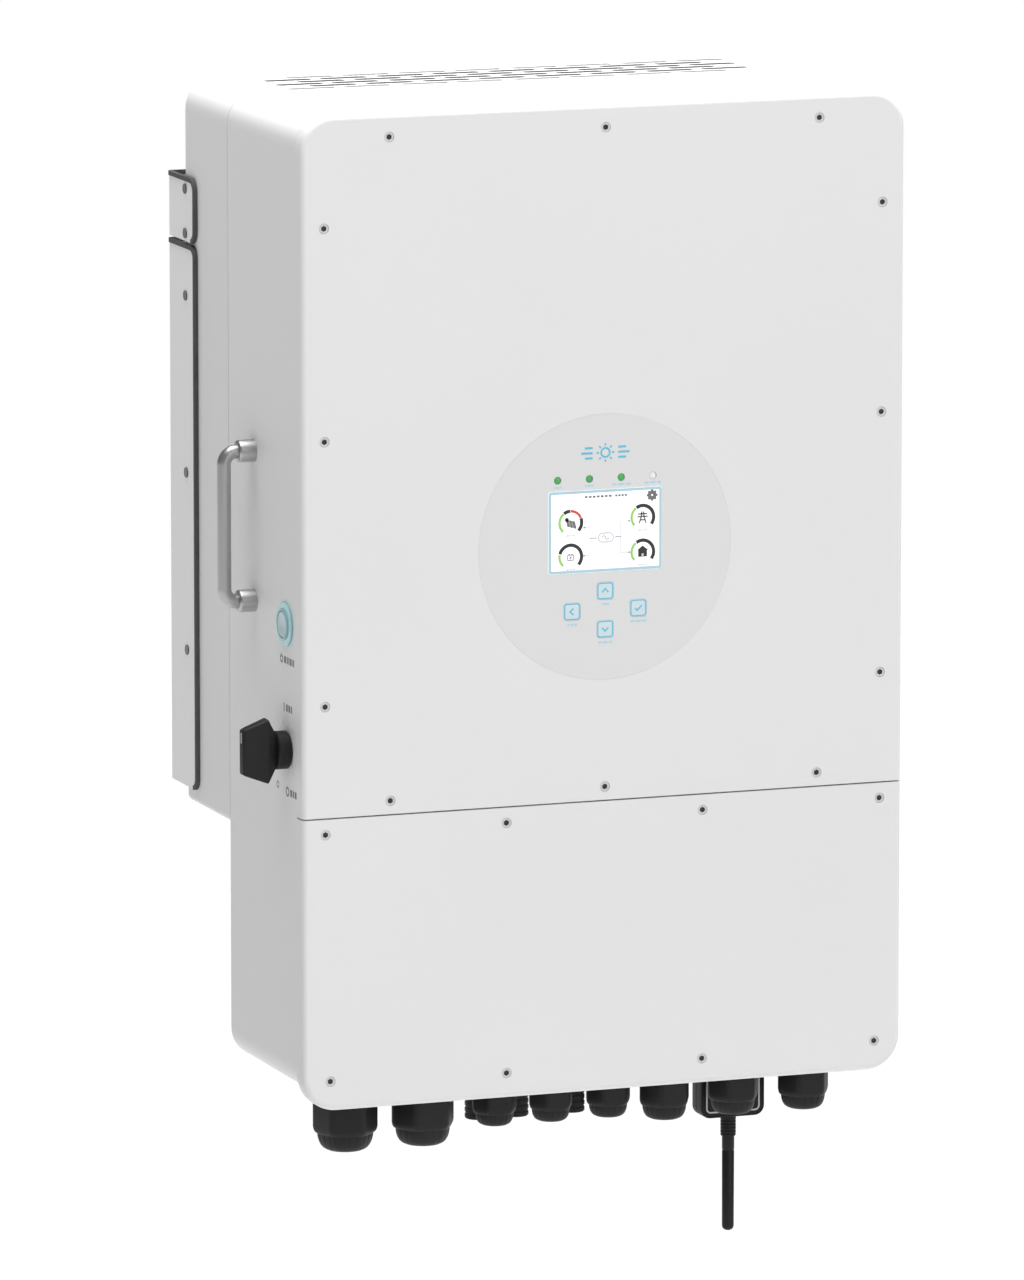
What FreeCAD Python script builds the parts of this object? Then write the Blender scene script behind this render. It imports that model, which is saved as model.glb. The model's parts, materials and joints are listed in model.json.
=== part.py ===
import FreeCAD, Part
import math
import os

import Sketcher

# String inverter for a wall: a sealed electronics housing in front, a cooling shroud behind it, and a
# wall bracket that the hanger plate hooks onto.
#
# Frame: the origin is the centre of the bracket's bolt pattern, on the wall. +Z is up, +Y points into
# the wall and +X is to the right of a person who faces the front. Lengths are in millimetres.

DRIVING_SIZES = {
    # whole body
    "body_width": 424.4, "mount_depth": 281, "body_top": 90,
    "cover_rise": 1.5, "cover_drop": 660.6, "seam_drop": 464, "seam_gap": 1, "cover_corner": 23.5,
    "pan_depth": 12.3, "pan_skin": 2.5, "edge_round": 3.8, "seal_thickness": 1,
    "gasket_inset": 4, "gasket_corner": 12,
    # front housing
    "side_inset": 0.7, "top_inset": 0.3, "housing_drop": 651.5, "housing_corner": 20,
    "housing_back": 150, "wall": 3, "rim_width": 20, "rim_thickness": 5,
    "rim_corner": 8, "cavity_corner": 10, "window_width": 360, "window_top": 57, "window_bottom": 360,
    "passage_half": 30, "passage_front": 90, "passage_back": 115, "passage_pitch": 120,
    # rear shroud
    "shroud_drop": 492, "shroud_back": 239.5, "shroud_wall": 2.5, "shroud_lip": 12,
    "shroud_low_corner": 5, "joint_seal": 0.8, "shroud_edge_round": 2,
    "vent_width": 320, "vent_front": 153, "vent_back": 225, "vent_columns": 8, "vent_rows": 6,
    # cover screws
    "screw_radius": 2, "screw_head_radius": 3.3, "screw_head_depth": 1.2, "screw_play": 0.15,
    "boss_radius": 5, "socket_radius": 1.5, "socket_depth": 2, "screw_sink": 0.2,
    "upper_row_spacing": 151, "upper_row_drop": 14.3, "upper_low_row_drop": 454.6,
    "edge_screw_spacing": 196.3, "edge_drop_a": 72.6, "edge_drop_b": 213.3, "edge_drop_c": 389.2,
    "lower_row_drop": 474.7, "lower_inner_spacing": 69.5,
    "corner_screw_spacing": 193.4, "corner_screw_drop": 640.5, "lower_low_row_drop": 643.7,
    # control panel
    "panel_drop": 293.5, "panel_radius": 89, "film": 0.4, "film_play": 0.1,
    "display_half_width": 40.2, "display_top_drop": 254.8, "display_low_drop": 310.2,
    "lamp_spacing": 22.4, "lamp_drop": 247.5, "lamp_radius": 2.5,
    "key_size": 12, "key_round": 2.5, "key_side": 23.4, "key_mid_drop": 335.7,
    "key_top_drop": 323, "key_low_drop": 348.6, "key_play": 0.2, "key_stem": 1.5,
    "module_half_width": 46, "module_half_height": 31, "module_thick": 5,
    "display_board_half": 62, "display_board_half_height": 65, "display_board_back": 8,
    "board_thick": 1.6,
    "display_post": 3, "display_post_x": 56, "display_post_z": 59,
    # rear plates and the wall bracket
    "sheet": 1.5, "plate_gap": 0.8, "flange_front": 213.5, "web_back": 268.5,
    "sheet_bend": 3, "flange_corner": 8,
    "hanger_top_drop": 66, "hanger_low_drop": 109, "duct_top_drop": 111.5, "duct_low_drop": 481,
    "side_screw_depth": 232, "hanger_screw_a": 73.6, "hanger_screw_b": 103.7,
    "duct_screw_a": 145.9, "duct_screw_b": 266.1, "duct_screw_c": 387.2,
    "bracket_width": 300, "bracket_height": 100, "bracket_sheet": 2.5,
    "bolt_spacing_x": 240, "bolt_spacing_z": 60, "bolt_hole_radius": 4.5,
    "tongue_half_width": 105, "tongue_sheet": 2, "tongue_back": 6.5, "tongue_shelf": 8,
    "hook_drop": 12, "hook_play": 0.2, "hook_back": 3.4, "pan_head_radius": 3.4, "pan_head": 0.9,
    # handles
    "grip_reach": 20.8, "grip_radius": 4.6, "grip_span": 100.5, "grip_bend": 8.5,
    "grip_depth": 99, "grip_drop": 282.3, "ferrule_radius": 7.5, "ferrule_length": 12,
    "ferrule_seat": 4, "handle_screw": 2.5, "handle_screw_in": 7, "handle_screw_head": 4.5,
    # side controls
    "button_depth": 35, "button_drop": 338.5, "button_ring": 15, "button_inner_ring": 10.5,
    "button_cap": 8.8, "button_rim": 1, "button_collar": 3, "button_light": 1.8, "button_face": 2.8,
    "button_stem": 3, "button_barrel": 6, "button_switch_half": 12, "button_switch_long": 18,
    "knob_depth": 33, "knob_drop": 422, "knob_base_radius": 12.75, "knob_base": 9.5,
    "knob_shoulder": 14.5, "knob_reach": 32, "knob_long": 43, "knob_tip_long": 31,
    "knob_thick": 10.5, "knob_tip_thick": 8, "knob_gap": 0.5, "knob_socket": 16,
    "shaft_radius": 3, "shaft_play": 0.6,
    "isolator_front": 11, "isolator_rear": 33, "isolator_half": 24, "isolator_start": 8,
    "isolator_end": 60, "isolator_neck": 9,
    # cable glands, sockets and the data logger
    "gland_depth": 53, "gland_collar": 8, "gland_play": 0.3, "gland_spigot": 12, "gland_dome": 10,
    "gland_end_wall": 5,
    "pv_depth": 108, "pv_pair": 26.8, "pv_middle": -3.5, "pv_gap": 67.2, "pv_radius": 9,
    "pv_neck": 6.5, "pv_drop": 697, "pv_hole": 5.5, "pv_hole_depth": 22,
    "logger_place": 121.6, "logger_depth": 85, "logger_width": 46, "logger_thick": 18,
    "logger_top_drop": 660, "logger_drop": 703, "logger_collar": 11, "logger_neck": 8,
    "ferrule_drop": 717.5, "antenna_ferrule_radius": 5.3, "antenna_drop": 783, "antenna_radius": 4.2,
    # cooling
    "base_plate": 7, "base_overlap": 6, "fin_height": 75, "fin_thickness": 1.6, "fin_pitch": 10,
    "fan_size": 80, "fan_thick": 25, "fan_pitch": 105, "fan_bore": 38, "fan_depth": 195,
    "fan_hub": 16, "fan_blade": 36.3, "fan_post": 4, "fan_screw_place": 35.75, "fan_screw": 2,
    "guard": 3, "guard_wire": 1.5, "guard_tab": 5.5,
    # electronics
    "module_height": 12, "module_half_x": 30, "module_half_z": 20, "power_board_thick": 2,
    "capacitor_radius": 17, "capacitor_height": 45, "capacitor_pitch": 40,
    "coil_radius": 34, "coil_hole": 13, "coil_height": 40, "relay_half": 14, "relay_height": 24,
    "shield_height": 56, "shield_leg": 188, "shield_low": 355, "shield_high": 51,
    "control_gap": 8, "chip_half": 12, "chip_height": 3.4, "terminal_depth": 45, "terminal_drop": 60,
}

# How far a cut runs on past a face, and the play between a turned part and its hole.
THROUGH = 1
SLIP = 0.1

PLANES = {
    # plane: (role of the origin plane, direction of the sketch's normal along the world axis)
    "XY": ("XY_Plane", 1),
    "XZ": ("XZ_Plane", -1),
    "YZ": ("YZ_Plane", 1),
}

document = FreeCAD.newDocument("string_inverter")
sub_parts = []


# ---------------------------------------------------------------- sizes bound to the spreadsheet

class Size:
    """A length with the spreadsheet formula that it comes from."""

    def __init__(self, value, formula=None):
        self.value = float(value)
        self.formula = formula or "(%r)" % self.value

    def __add__(self, other):
        return combined(self, "+", other)

    def __radd__(self, other):
        return combined(other, "+", self)

    def __sub__(self, other):
        return combined(self, "-", other)

    def __rsub__(self, other):
        return combined(other, "-", self)

    def __mul__(self, other):
        return combined(self, "*", other)

    __rmul__ = __mul__

    def __truediv__(self, other):
        return combined(self, "/", other)

    def __neg__(self):
        return combined(0, "-", self)


def sized(number):
    return number if isinstance(number, Size) else Size(number)


def combined(first, sign, second):
    first, second = sized(first), sized(second)
    results = {
        "+": lambda: first.value + second.value,
        "-": lambda: first.value - second.value,
        "*": lambda: first.value * second.value,
        "/": lambda: first.value / second.value,
    }
    return Size(results[sign](), "(%s %s %s)" % (first.formula, sign, second.formula))


class Sizes:
    """The driving sizes, as named cells of the document's spreadsheet."""

    def __init__(self, values):
        cells = document.addObject("Spreadsheet::Sheet", "dims")
        for row, (alias, value) in enumerate(values.items(), start=1):
            cell = "A%d" % row
            cells.set(cell, str(value))
            cells.setAlias(cell, alias)
            setattr(self, alias, Size(value, "dims." + alias))
        document.recompute()


def bind(thing, prop, size):
    """Give a property its size now, and bind it to the sheet."""
    size = sized(size)
    if "." not in prop and "[" not in prop:
        setattr(thing, prop, size.value)
    thing.setExpression(prop, size.formula)


def place(thing, position, rotation=None):
    thing.Placement = FreeCAD.Placement(FreeCAD.Vector(), rotation or FreeCAD.Rotation())
    for axis, size in zip("xyz", position):
        bind(thing, "Placement.Base." + axis, size)


# ---------------------------------------------------------------- sketch outlines

class Outline:
    """The geometry and constraints of one sketch, collected so that the sketch is solved once."""

    def __init__(self):
        self.geometry = []
        self.constraints = []
        self.formulas = {}

    def add(self, shape):
        self.geometry.append(shape)
        return len(self.geometry) - 1

    def hold(self, *rule):
        self.constraints.append(Sketcher.Constraint(*rule))

    def measure(self, *rule):
        """A dimension: the last entry of the rule is its size."""
        self.formulas[len(self.constraints)] = rule[-1].formula
        self.hold(*rule[:-1], rule[-1].value)

    def pin(self, shape, point, x, y):
        """Hold one point of a shape at a place measured from the sketch's origin."""
        self.measure("DistanceX", -1, 1, shape, point, x)
        self.measure("DistanceY", -1, 1, shape, point, y)

    def write(self, sketch):
        sketch.addGeometry(self.geometry, False)
        sketch.addConstraint(self.constraints)
        for number, formula in self.formulas.items():
            sketch.setExpression("Constraints[%d]" % number, formula)


def vector(x, y):
    return FreeCAD.Vector(sized(x).value, sized(y).value, 0)


def round_curve(x, y, radius):
    return Part.Circle(vector(x, y), FreeCAD.Vector(0, 0, 1), sized(radius).value)


def circle(x, y, radius):
    x, y, radius = sized(x), sized(y), sized(radius)

    def draw(outline):
        ring = outline.add(round_curve(x, y, radius))
        outline.pin(ring, 3, x, y)
        outline.measure("Radius", ring, radius)

    return draw


def circles(places, radius):
    return [circle(x, y, radius) for x, y in places]


def polygon(points):
    points = [(sized(x), sized(y)) for x, y in points]

    def draw(outline):
        corners = [vector(x, y) for x, y in points]
        sides = []
        for start, end in zip(corners, corners[1:] + corners[:1]):
            sides.append(outline.add(Part.LineSegment(start, end)))
        for side, following in zip(sides, sides[1:] + sides[:1]):
            outline.hold("Coincident", side, 2, following, 1)
        for side, (x, y) in zip(sides, points):
            outline.pin(side, 1, x, y)

    return draw


def rectangle(left, right, low, high):
    return polygon([(left, low), (right, low), (right, high), (left, high)])


def rounded(left, right, low, high, radius, low_radius=None):
    """A rectangle with tangent arcs at its corners, or sharp ones where the radius is 0."""
    left, right, low, high = sized(left), sized(right), sized(low), sized(high)
    large = sized(radius)
    small = large if low_radius is None else sized(low_radius)

    def draw(outline):
        runs = [
            (vector(left + small, low), vector(right - small, low)),
            (vector(right, low + small), vector(right, high - large)),
            (vector(right - large, high), vector(left + large, high)),
            (vector(left, high - large), vector(left, low + small)),
        ]
        sides = [outline.add(Part.LineSegment(start, end)) for start, end in runs]
        bends = [
            (right - small, low + small, small, -90),
            (right - large, high - large, large, 0),
            (left + large, high - large, large, 90),
            (left + small, low + small, small, 180),
        ]
        for number, (x, y, size, start) in enumerate(bends):
            following = sides[(number + 1) % 4]
            if size.value == 0:
                outline.hold("Coincident", sides[number], 2, following, 1)
                continue
            ends = math.radians(start), math.radians(start + 90)
            arc = outline.add(Part.ArcOfCircle(round_curve(x, y, size), *ends))
            outline.hold("Tangent", sides[number], 2, arc, 1)
            outline.hold("Tangent", arc, 2, following, 1)
            outline.measure("Radius", arc, size)
        for side, direction in zip(sides, ("Horizontal", "Vertical", "Horizontal", "Vertical")):
            outline.hold(direction, side)
        for side, kind, size in zip(sides, ("DistanceY", "DistanceX") * 2, (low, right, high, left)):
            outline.measure(kind, -1, 1, side, 1, size)

    return draw


def hexagon(x, y, across_flats):
    reach = across_flats / 2 / math.cos(math.pi / 6)
    turns = [math.radians(60 * step) for step in range(6)]
    return polygon([(x + reach * math.cos(turn), y + reach * math.sin(turn)) for turn in turns])


# ---------------------------------------------------------------- PartDesign features

def new_body(label):
    body = document.addObject("PartDesign::Body", label)
    body.AllowCompound = True
    sub_parts.append(body)
    return body


def draw_sketch(body, plane, level, outlines):
    role, normal = PLANES[plane]
    sketch = body.newObject("Sketcher::SketchObject", "sketch")
    origin_plane = next(part for part in body.Origin.OriginFeatures if part.Role == role)
    sketch.AttachmentSupport = (origin_plane, [""])
    sketch.MapMode = "FlatFace"
    bind(sketch, "AttachmentOffset.Base.z", sized(level) * normal)
    drawing = Outline()
    for outline in outlines:
        outline(drawing)
    drawing.write(sketch)
    return sketch


def grow(body, plane, start, end, outlines, taper=0):
    """Pad outlines from one level to another along the plane's world axis."""
    start, end = sized(start), sized(end)
    upward = end.value > start.value
    feature = body.newObject("PartDesign::Pad", "pad")
    feature.Profile = draw_sketch(body, plane, start, outlines)
    feature.Reversed = upward != (PLANES[plane][1] > 0)
    bind(feature, "Length", end - start if upward else start - end)
    feature.TaperAngle = taper
    return feature


def carve(body, plane, start, end, outlines):
    """Pocket outlines from one level to another, and make sure that it removes material."""
    start, end = sized(start), sized(end)
    document.recompute()
    before = body.Shape.Volume
    upward = end.value > start.value
    feature = body.newObject("PartDesign::Pocket", "pocket")
    feature.Profile = draw_sketch(body, plane, start, outlines)
    feature.Reversed = upward == (PLANES[plane][1] > 0)
    bind(feature, "Length", end - start if upward else start - end)
    document.recompute()
    if not body.Shape.Volume < before - 1e-3:
        raise RuntimeError("a pocket of %s cuts nothing" % body.Label)
    return feature


def repeat(body, feature, length, count):
    """Repeat a feature along X, evenly over a length."""
    document.recompute()
    pattern = body.newObject("PartDesign::LinearPattern", "pattern")
    pattern.Originals = [feature]
    x_axis = next(part for part in body.Origin.OriginFeatures if part.Role == "X_Axis")
    pattern.Direction = (x_axis, [""])
    bind(pattern, "Length", length)
    pattern.Occurrences = count
    body.Tip = pattern


def round_edges(body, radius, chosen):
    """Fillet the edges of the body so far for which chosen(box) is true."""
    document.recompute()
    base = body.Tip
    names = []
    for number, edge in enumerate(base.Shape.Edges, start=1):
        if chosen(edge.BoundBox):
            names.append("Edge%d" % number)
    feature = body.newObject("PartDesign::Fillet", "fillet")
    feature.Base = (base, names)
    bind(feature, "Radius", radius)
    return feature


# ---------------------------------------------------------------- Part primitives

def block(name, x, y, z):
    """A box between two levels on each axis."""
    solid = document.addObject("Part::Box", name)
    for prop, (low, high) in (("Length", x), ("Width", y), ("Height", z)):
        bind(solid, prop, sized(high) - low)
    place(solid, (x[0], y[0], z[0]))
    return solid


def fused(name, solids):
    whole = document.addObject("Part::MultiFuse", name)
    whole.Shapes = solids
    return whole


def grouped(name, solids):
    whole = document.addObject("Part::Compound", name)
    whole.Links = solids
    return whole


def sub_part(thing, label):
    thing.Label = label
    sub_parts.append(thing)
    return thing


# ---------------------------------------------------------------- shared levels

s = Sizes(DRIVING_SIZES)

FRONT = -s.mount_depth
TOP = s.body_top
HALF = s.body_width / 2
SEAM = TOP - s.seam_drop
COVER_TOP = TOP + s.cover_rise
COVER_LOW = TOP - s.cover_drop

PAN_BACK = FRONT + s.pan_depth
SKIN_BACK = FRONT + s.pan_skin
HOUSING_FRONT = PAN_BACK + s.seal_thickness
RIM_BACK = HOUSING_FRONT + s.rim_thickness
HOUSING_BACK = FRONT + s.housing_back
HOUSING_FLOOR = HOUSING_BACK - s.wall
HOUSING_HALF = HALF - s.side_inset
HOUSING_TOP = TOP - s.top_inset
HOUSING_LOW = TOP - s.housing_drop

SHROUD_FRONT = HOUSING_BACK + s.joint_seal
SHROUD_BACK = FRONT + s.shroud_back
SHROUD_LOW = TOP - s.shroud_drop

WEB_BACK = FRONT + s.web_back
WEB_FRONT = WEB_BACK - s.sheet
PLATE_HALF = HOUSING_HALF + s.plate_gap + s.sheet

UPPER_SCREWS = (
    [(x, TOP - drop) for drop in (s.upper_row_drop, s.upper_low_row_drop)
     for x in (-s.upper_row_spacing, 0, s.upper_row_spacing)]
    + [(x, TOP - drop) for drop in (s.edge_drop_a, s.edge_drop_b, s.edge_drop_c)
       for x in (-s.edge_screw_spacing, s.edge_screw_spacing)]
)
LOWER_SCREWS = (
    [(x, TOP - s.lower_row_drop) for x in (-s.edge_screw_spacing, -s.lower_inner_spacing,
                                           s.lower_inner_spacing, s.edge_screw_spacing)]
    + [(x, TOP - s.corner_screw_drop) for x in (-s.corner_screw_spacing, s.corner_screw_spacing)]
    + [(x, TOP - s.lower_low_row_drop) for x in (-s.lower_inner_spacing, s.lower_inner_spacing)]
)

SCREW_HOLE = s.screw_radius + SLIP / 2

PANEL_Z = TOP - s.panel_drop
LAMPS = [(s.lamp_spacing * step, TOP - s.lamp_drop) for step in (-1.5, -0.5, 0.5, 1.5)]
KEYS = {
    "key_up": (sized(0), TOP - s.key_top_drop),
    "key_left": (-s.key_side, TOP - s.key_mid_drop),
    "key_right": (s.key_side, TOP - s.key_mid_drop),
    "key_down": (sized(0), TOP - s.key_low_drop),
}

BUTTON_Y = FRONT + s.button_depth
BUTTON_Z = TOP - s.button_drop
KNOB_Y = FRONT + s.knob_depth
KNOB_Z = TOP - s.knob_drop

# Each gland: where it stands across the housing, and its size.
GLAND_SIZES = {
    # name: (thread radius, across flats, drop of the tip, radius of the bore)
    "large": (16, 39, 698.5, 10.5),
    "medium": (12.5, 32, 694, 8),
    "small": (10, 27.6, 689.5, 6),
}
GLANDS = [(-164.6, "large"), (-109.8, "large"), (-58.7, "small"), (-18.6, "small"),
          (22.5, "small"), (62.9, "medium"), (112.4, "medium"), (163.3, "medium")]
GLAND_Y = FRONT + s.gland_depth

# Each row of terminals: where it starts, its pitch, its height and how many it has.
TERMINAL_ROWS = [(-150, 22, 40, 4), (-40, 16, 30, 5), (60, 20, 34, 6)]

PV_Y = FRONT + s.pv_depth
PV_PLACES = [(s.pv_middle + (s.pv_gap * pair + s.pv_pair * side) / 2, PV_Y)
             for pair in (-1, 1) for side in (-1, 1)]
LOGGER_X = s.logger_place
LOGGER_Y = FRONT + s.logger_depth

FAN_Y = FRONT + s.fan_depth
FAN_X = {"left": -s.fan_pitch, "middle": sized(0), "right": s.fan_pitch}
FAN_LOW = SHROUD_LOW + s.shroud_wall
FAN_TOP = FAN_LOW + s.fan_thick
FAN_HUBS = [(x, FAN_Y) for x in FAN_X.values()]
FAN_SCREWS = [(x + s.fan_screw_place * i, FAN_Y + s.fan_screw_place * j)
              for x in FAN_X.values() for i in (-1, 1) for j in (-1, 1)]

HANDLE_Y = FRONT + s.grip_depth
HANDLE_Z = TOP - s.grip_drop
HANDLE_SCREWS = [(HANDLE_Y, HANDLE_Z + s.grip_span / 2 * end) for end in (-1, 1)]

SIDE_SCREW_Y = FRONT + s.side_screw_depth
HANGER_SCREWS = [(SIDE_SCREW_Y, TOP - drop) for drop in (s.hanger_screw_a, s.hanger_screw_b)]
DUCT_SCREWS = [(SIDE_SCREW_Y, TOP - drop) for drop in (s.duct_screw_a, s.duct_screw_b, s.duct_screw_c)]


# ---------------------------------------------------------------- casings and covers

def front_housing():
    body = new_body("front_housing")
    rim, wall = s.rim_width, s.wall
    grow(body, "XZ", HOUSING_BACK, HOUSING_FRONT,
         [rounded(-HOUSING_HALF, HOUSING_HALF, HOUSING_LOW, HOUSING_TOP, s.housing_corner)])
    openings = []
    cavities = []
    for low, high in ((SEAM, HOUSING_TOP), (HOUSING_LOW, SEAM)):
        openings.append(rounded(rim - HOUSING_HALF, HOUSING_HALF - rim, low + rim, high - rim,
                                s.rim_corner))
        cavities.append(rounded(wall - HOUSING_HALF, HOUSING_HALF - wall, low + wall, high - wall,
                                s.cavity_corner))
    carve(body, "XZ", HOUSING_FRONT, RIM_BACK, openings)
    carve(body, "XZ", RIM_BACK, HOUSING_FLOOR, cavities)
    carve(body, "XZ", HOUSING_FRONT, RIM_BACK, circles(UPPER_SCREWS + LOWER_SCREWS, SCREW_HOLE))
    carve(body, "XZ", HOUSING_FLOOR, HOUSING_BACK,
          [rounded(-s.window_width / 2, s.window_width / 2, -s.window_bottom, s.window_top, 6)])
    passages = [rounded(x - s.passage_half, x + s.passage_half, FRONT + s.passage_front,
                        FRONT + s.passage_back, 6) for x in (-s.passage_pitch, 0, s.passage_pitch)]
    carve(body, "XY", SEAM + wall + THROUGH, SEAM - wall - THROUGH, passages)
    floor_holes = circles(PV_PLACES, s.pv_neck + SLIP) + [circle(LOGGER_X, LOGGER_Y, s.logger_neck + SLIP)]
    for x, size in GLANDS:
        floor_holes.append(circle(x, GLAND_Y, GLAND_SIZES[size][0] + SLIP))
    carve(body, "XY", HOUSING_LOW + wall + THROUGH, HOUSING_LOW - THROUGH, floor_holes)
    left_holes = [circle(BUTTON_Y, BUTTON_Z, s.button_inner_ring + SLIP),
                  circle(KNOB_Y, KNOB_Z, s.shaft_radius + s.shaft_play)]
    carve(body, "YZ", wall + THROUGH - HOUSING_HALF, -HOUSING_HALF - THROUGH, left_holes)
    carve(body, "YZ", HOUSING_HALF + THROUGH, -HOUSING_HALF - THROUGH,
          circles(HANDLE_SCREWS, s.handle_screw + SLIP))


def rear_shroud():
    body = new_body("rear_shroud")
    wall, lip = s.shroud_wall, s.shroud_lip
    grow(body, "XZ", SHROUD_BACK, SHROUD_FRONT,
         [rounded(-HOUSING_HALF, HOUSING_HALF, SHROUD_LOW, HOUSING_TOP,
                  s.housing_corner, s.shroud_low_corner)])
    carve(body, "XZ", SHROUD_FRONT, SHROUD_FRONT + wall,
          [rounded(lip - HOUSING_HALF, HOUSING_HALF - lip, SHROUD_LOW + lip, HOUSING_TOP - lip,
                   s.rim_corner)])
    carve(body, "XZ", SHROUD_FRONT + wall, SHROUD_BACK - wall,
          [rounded(wall - HOUSING_HALF, HOUSING_HALF - wall, SHROUD_LOW + wall, HOUSING_TOP - wall,
                   s.housing_corner - wall, s.shroud_low_corner - wall)])
    column = s.vent_width / s.vent_columns
    row = (s.vent_back - s.vent_front) / s.vent_rows
    half_slot, half_height = column * 0.42, row * 0.37
    slots = []
    for number in range(int(s.vent_rows.value)):
        y = FRONT + s.vent_front + row * (number + 0.5)
        across = 0.75 if number % 2 else 0.25
        x = column * across - s.vent_width / 2
        slots.append(rounded(x - half_slot, x + half_slot, y - half_height, y + half_height,
                             half_height * 0.93))
    first_column = carve(body, "XY", HOUSING_TOP + THROUGH, HOUSING_TOP - wall - THROUGH, slots)
    repeat(body, first_column, s.vent_width - column, int(s.vent_columns.value))
    carve(body, "XY", SHROUD_LOW + wall + THROUGH, SHROUD_LOW - THROUGH,
          circles(FAN_HUBS, s.fan_bore) + circles(FAN_SCREWS, s.fan_screw + SLIP / 2))
    carve(body, "YZ", HOUSING_HALF + THROUGH, -HOUSING_HALF - THROUGH,
          circles(HANGER_SCREWS + DUCT_SCREWS, SCREW_HOLE))
    back = SHROUD_BACK.value
    round_edges(body, s.shroud_edge_round, lambda box: box.YMin > back - 0.01 and box.YMax < back + 0.01)


def rear_joint_seal():
    body = new_body("rear_joint_seal")
    inset = 1.2
    grow(body, "XZ", SHROUD_FRONT, HOUSING_BACK, [
        rounded(inset - HOUSING_HALF, HOUSING_HALF - inset, SHROUD_LOW + inset, HOUSING_TOP - inset,
                s.housing_corner - inset, s.shroud_low_corner - inset),
        rounded(s.shroud_lip - HOUSING_HALF, HOUSING_HALF - s.shroud_lip,
                SHROUD_LOW + s.shroud_lip, HOUSING_TOP - s.shroud_lip, s.rim_corner)])


def cover(label, low, high, screws, top_corner, low_corner):
    """A pressed pan with a screw boss at each screw; its edge along the seam stays sharp."""
    body = new_body(label)
    skin = s.pan_skin
    grow(body, "XZ", PAN_BACK, FRONT, [rounded(-HALF, HALF, low, high, top_corner, low_corner)])
    front = FRONT.value
    seam = (high if top_corner == 0 else low).value

    def outer_edge(box):
        on_front = box.YMin > front - 0.01 and box.YMax < front + 0.01
        along_seam = abs(box.ZMin - seam) < 0.01 and abs(box.ZMax - seam) < 0.01
        return on_front and not along_seam

    round_edges(body, s.edge_round, outer_edge)
    inner_top = top_corner - skin if top_corner else 0
    inner_low = low_corner - skin if low_corner else 0
    carve(body, "XZ", PAN_BACK, SKIN_BACK,
          [rounded(skin - HALF, HALF - skin, low + skin, high - skin, inner_top, inner_low)])
    grow(body, "XZ", PAN_BACK, SKIN_BACK - 0.5, circles(screws, s.boss_radius))
    carve(body, "XZ", FRONT, PAN_BACK, circles(screws, s.screw_radius + SLIP))
    carve(body, "XZ", FRONT, FRONT + s.screw_head_depth,
          circles(screws, s.screw_head_radius + s.screw_play))
    return body


def panel_openings(key_reach):
    """The holes for the display, the lamps and the keys."""
    play = s.film_play
    reach = s.display_half_width + play
    low, high = TOP - s.display_low_drop - play, TOP - s.display_top_drop + play
    holes = [rectangle(-reach, reach, low, high)] + circles(LAMPS, s.lamp_radius + play)
    for x, z in KEYS.values():
        holes.append(rounded(x - key_reach, x + key_reach, z - key_reach, z + key_reach, s.key_round))
    return holes


def upper_cover():
    body = cover("upper_cover", SEAM + s.seam_gap / 2, COVER_TOP, UPPER_SCREWS, s.cover_corner, 0)
    carve(body, "XZ", FRONT, FRONT + s.film, [circle(0, PANEL_Z, s.panel_radius + s.film_play)])
    carve(body, "XZ", FRONT, SKIN_BACK, panel_openings(s.key_size / 2))


def lower_cover():
    cover("lower_cover", COVER_LOW, SEAM - s.seam_gap / 2, LOWER_SCREWS, 0, s.cover_corner)


def cover_gasket(label, low, high, screws):
    body = new_body(label)
    outer, inner = s.gasket_inset, s.rim_width
    band = [rounded(outer - HALF, HALF - outer, low + outer, high - outer, s.gasket_corner),
            rounded(inner - HOUSING_HALF, HOUSING_HALF - inner, low + inner, high - inner, s.rim_corner)]
    grow(body, "XZ", HOUSING_FRONT, PAN_BACK, band + circles(screws, s.screw_radius + SLIP))


def cover_screws(label, screws):
    body = new_body(label)
    head_back = FRONT + s.screw_head_depth
    head_front = FRONT + s.screw_sink
    grow(body, "XZ", RIM_BACK + THROUGH, head_back, circles(screws, s.screw_radius))
    grow(body, "XZ", head_back, head_front, circles(screws, s.screw_head_radius))
    carve(body, "XZ", head_front, head_front + s.socket_depth, circles(screws, s.socket_radius))


# ---------------------------------------------------------------- control panel

def control_overlay():
    body = new_body("control_overlay")
    grow(body, "XZ", FRONT + s.film, FRONT, [circle(0, PANEL_Z, s.panel_radius)])
    carve(body, "XZ", FRONT, FRONT + s.film, panel_openings(s.key_size / 2 + s.key_play / 2))


def display():
    reach, low, high = s.display_half_width, TOP - s.display_low_drop, TOP - s.display_top_drop
    window = block("display_window", (-reach, reach), (FRONT, SKIN_BACK), (low, high))
    sub_part(window, "display_window")
    middle = (low + high) / 2
    module = block("display_module", (-s.module_half_width, s.module_half_width),
                   (SKIN_BACK, SKIN_BACK + s.module_thick),
                   (middle - s.module_half_height, middle + s.module_half_height))
    sub_part(module, "display_module")
    board_front = SKIN_BACK + s.display_board_back
    half, tall = s.display_board_half, s.display_board_half_height
    board = new_body("display_board")
    grow(board, "XZ", board_front + s.board_thick, board_front,
         [rounded(-half, half, PANEL_Z - tall, PANEL_Z + tall, 4)])
    switches = [rectangle(x - 3, x + 3, z - 3, z + 3) for x, z in KEYS.values()]
    grow(board, "XZ", board_front, SKIN_BACK + 3, switches)
    posts = [(s.display_post_x * i, PANEL_Z + s.display_post_z * j) for i in (-1, 1) for j in (-1, 1)]
    grow(board, "XZ", board_front, SKIN_BACK, circles(posts, s.display_post))
    lenses = new_body("led_lenses")
    grow(lenses, "XZ", board_front, FRONT, circles(LAMPS, s.lamp_radius))


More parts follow.
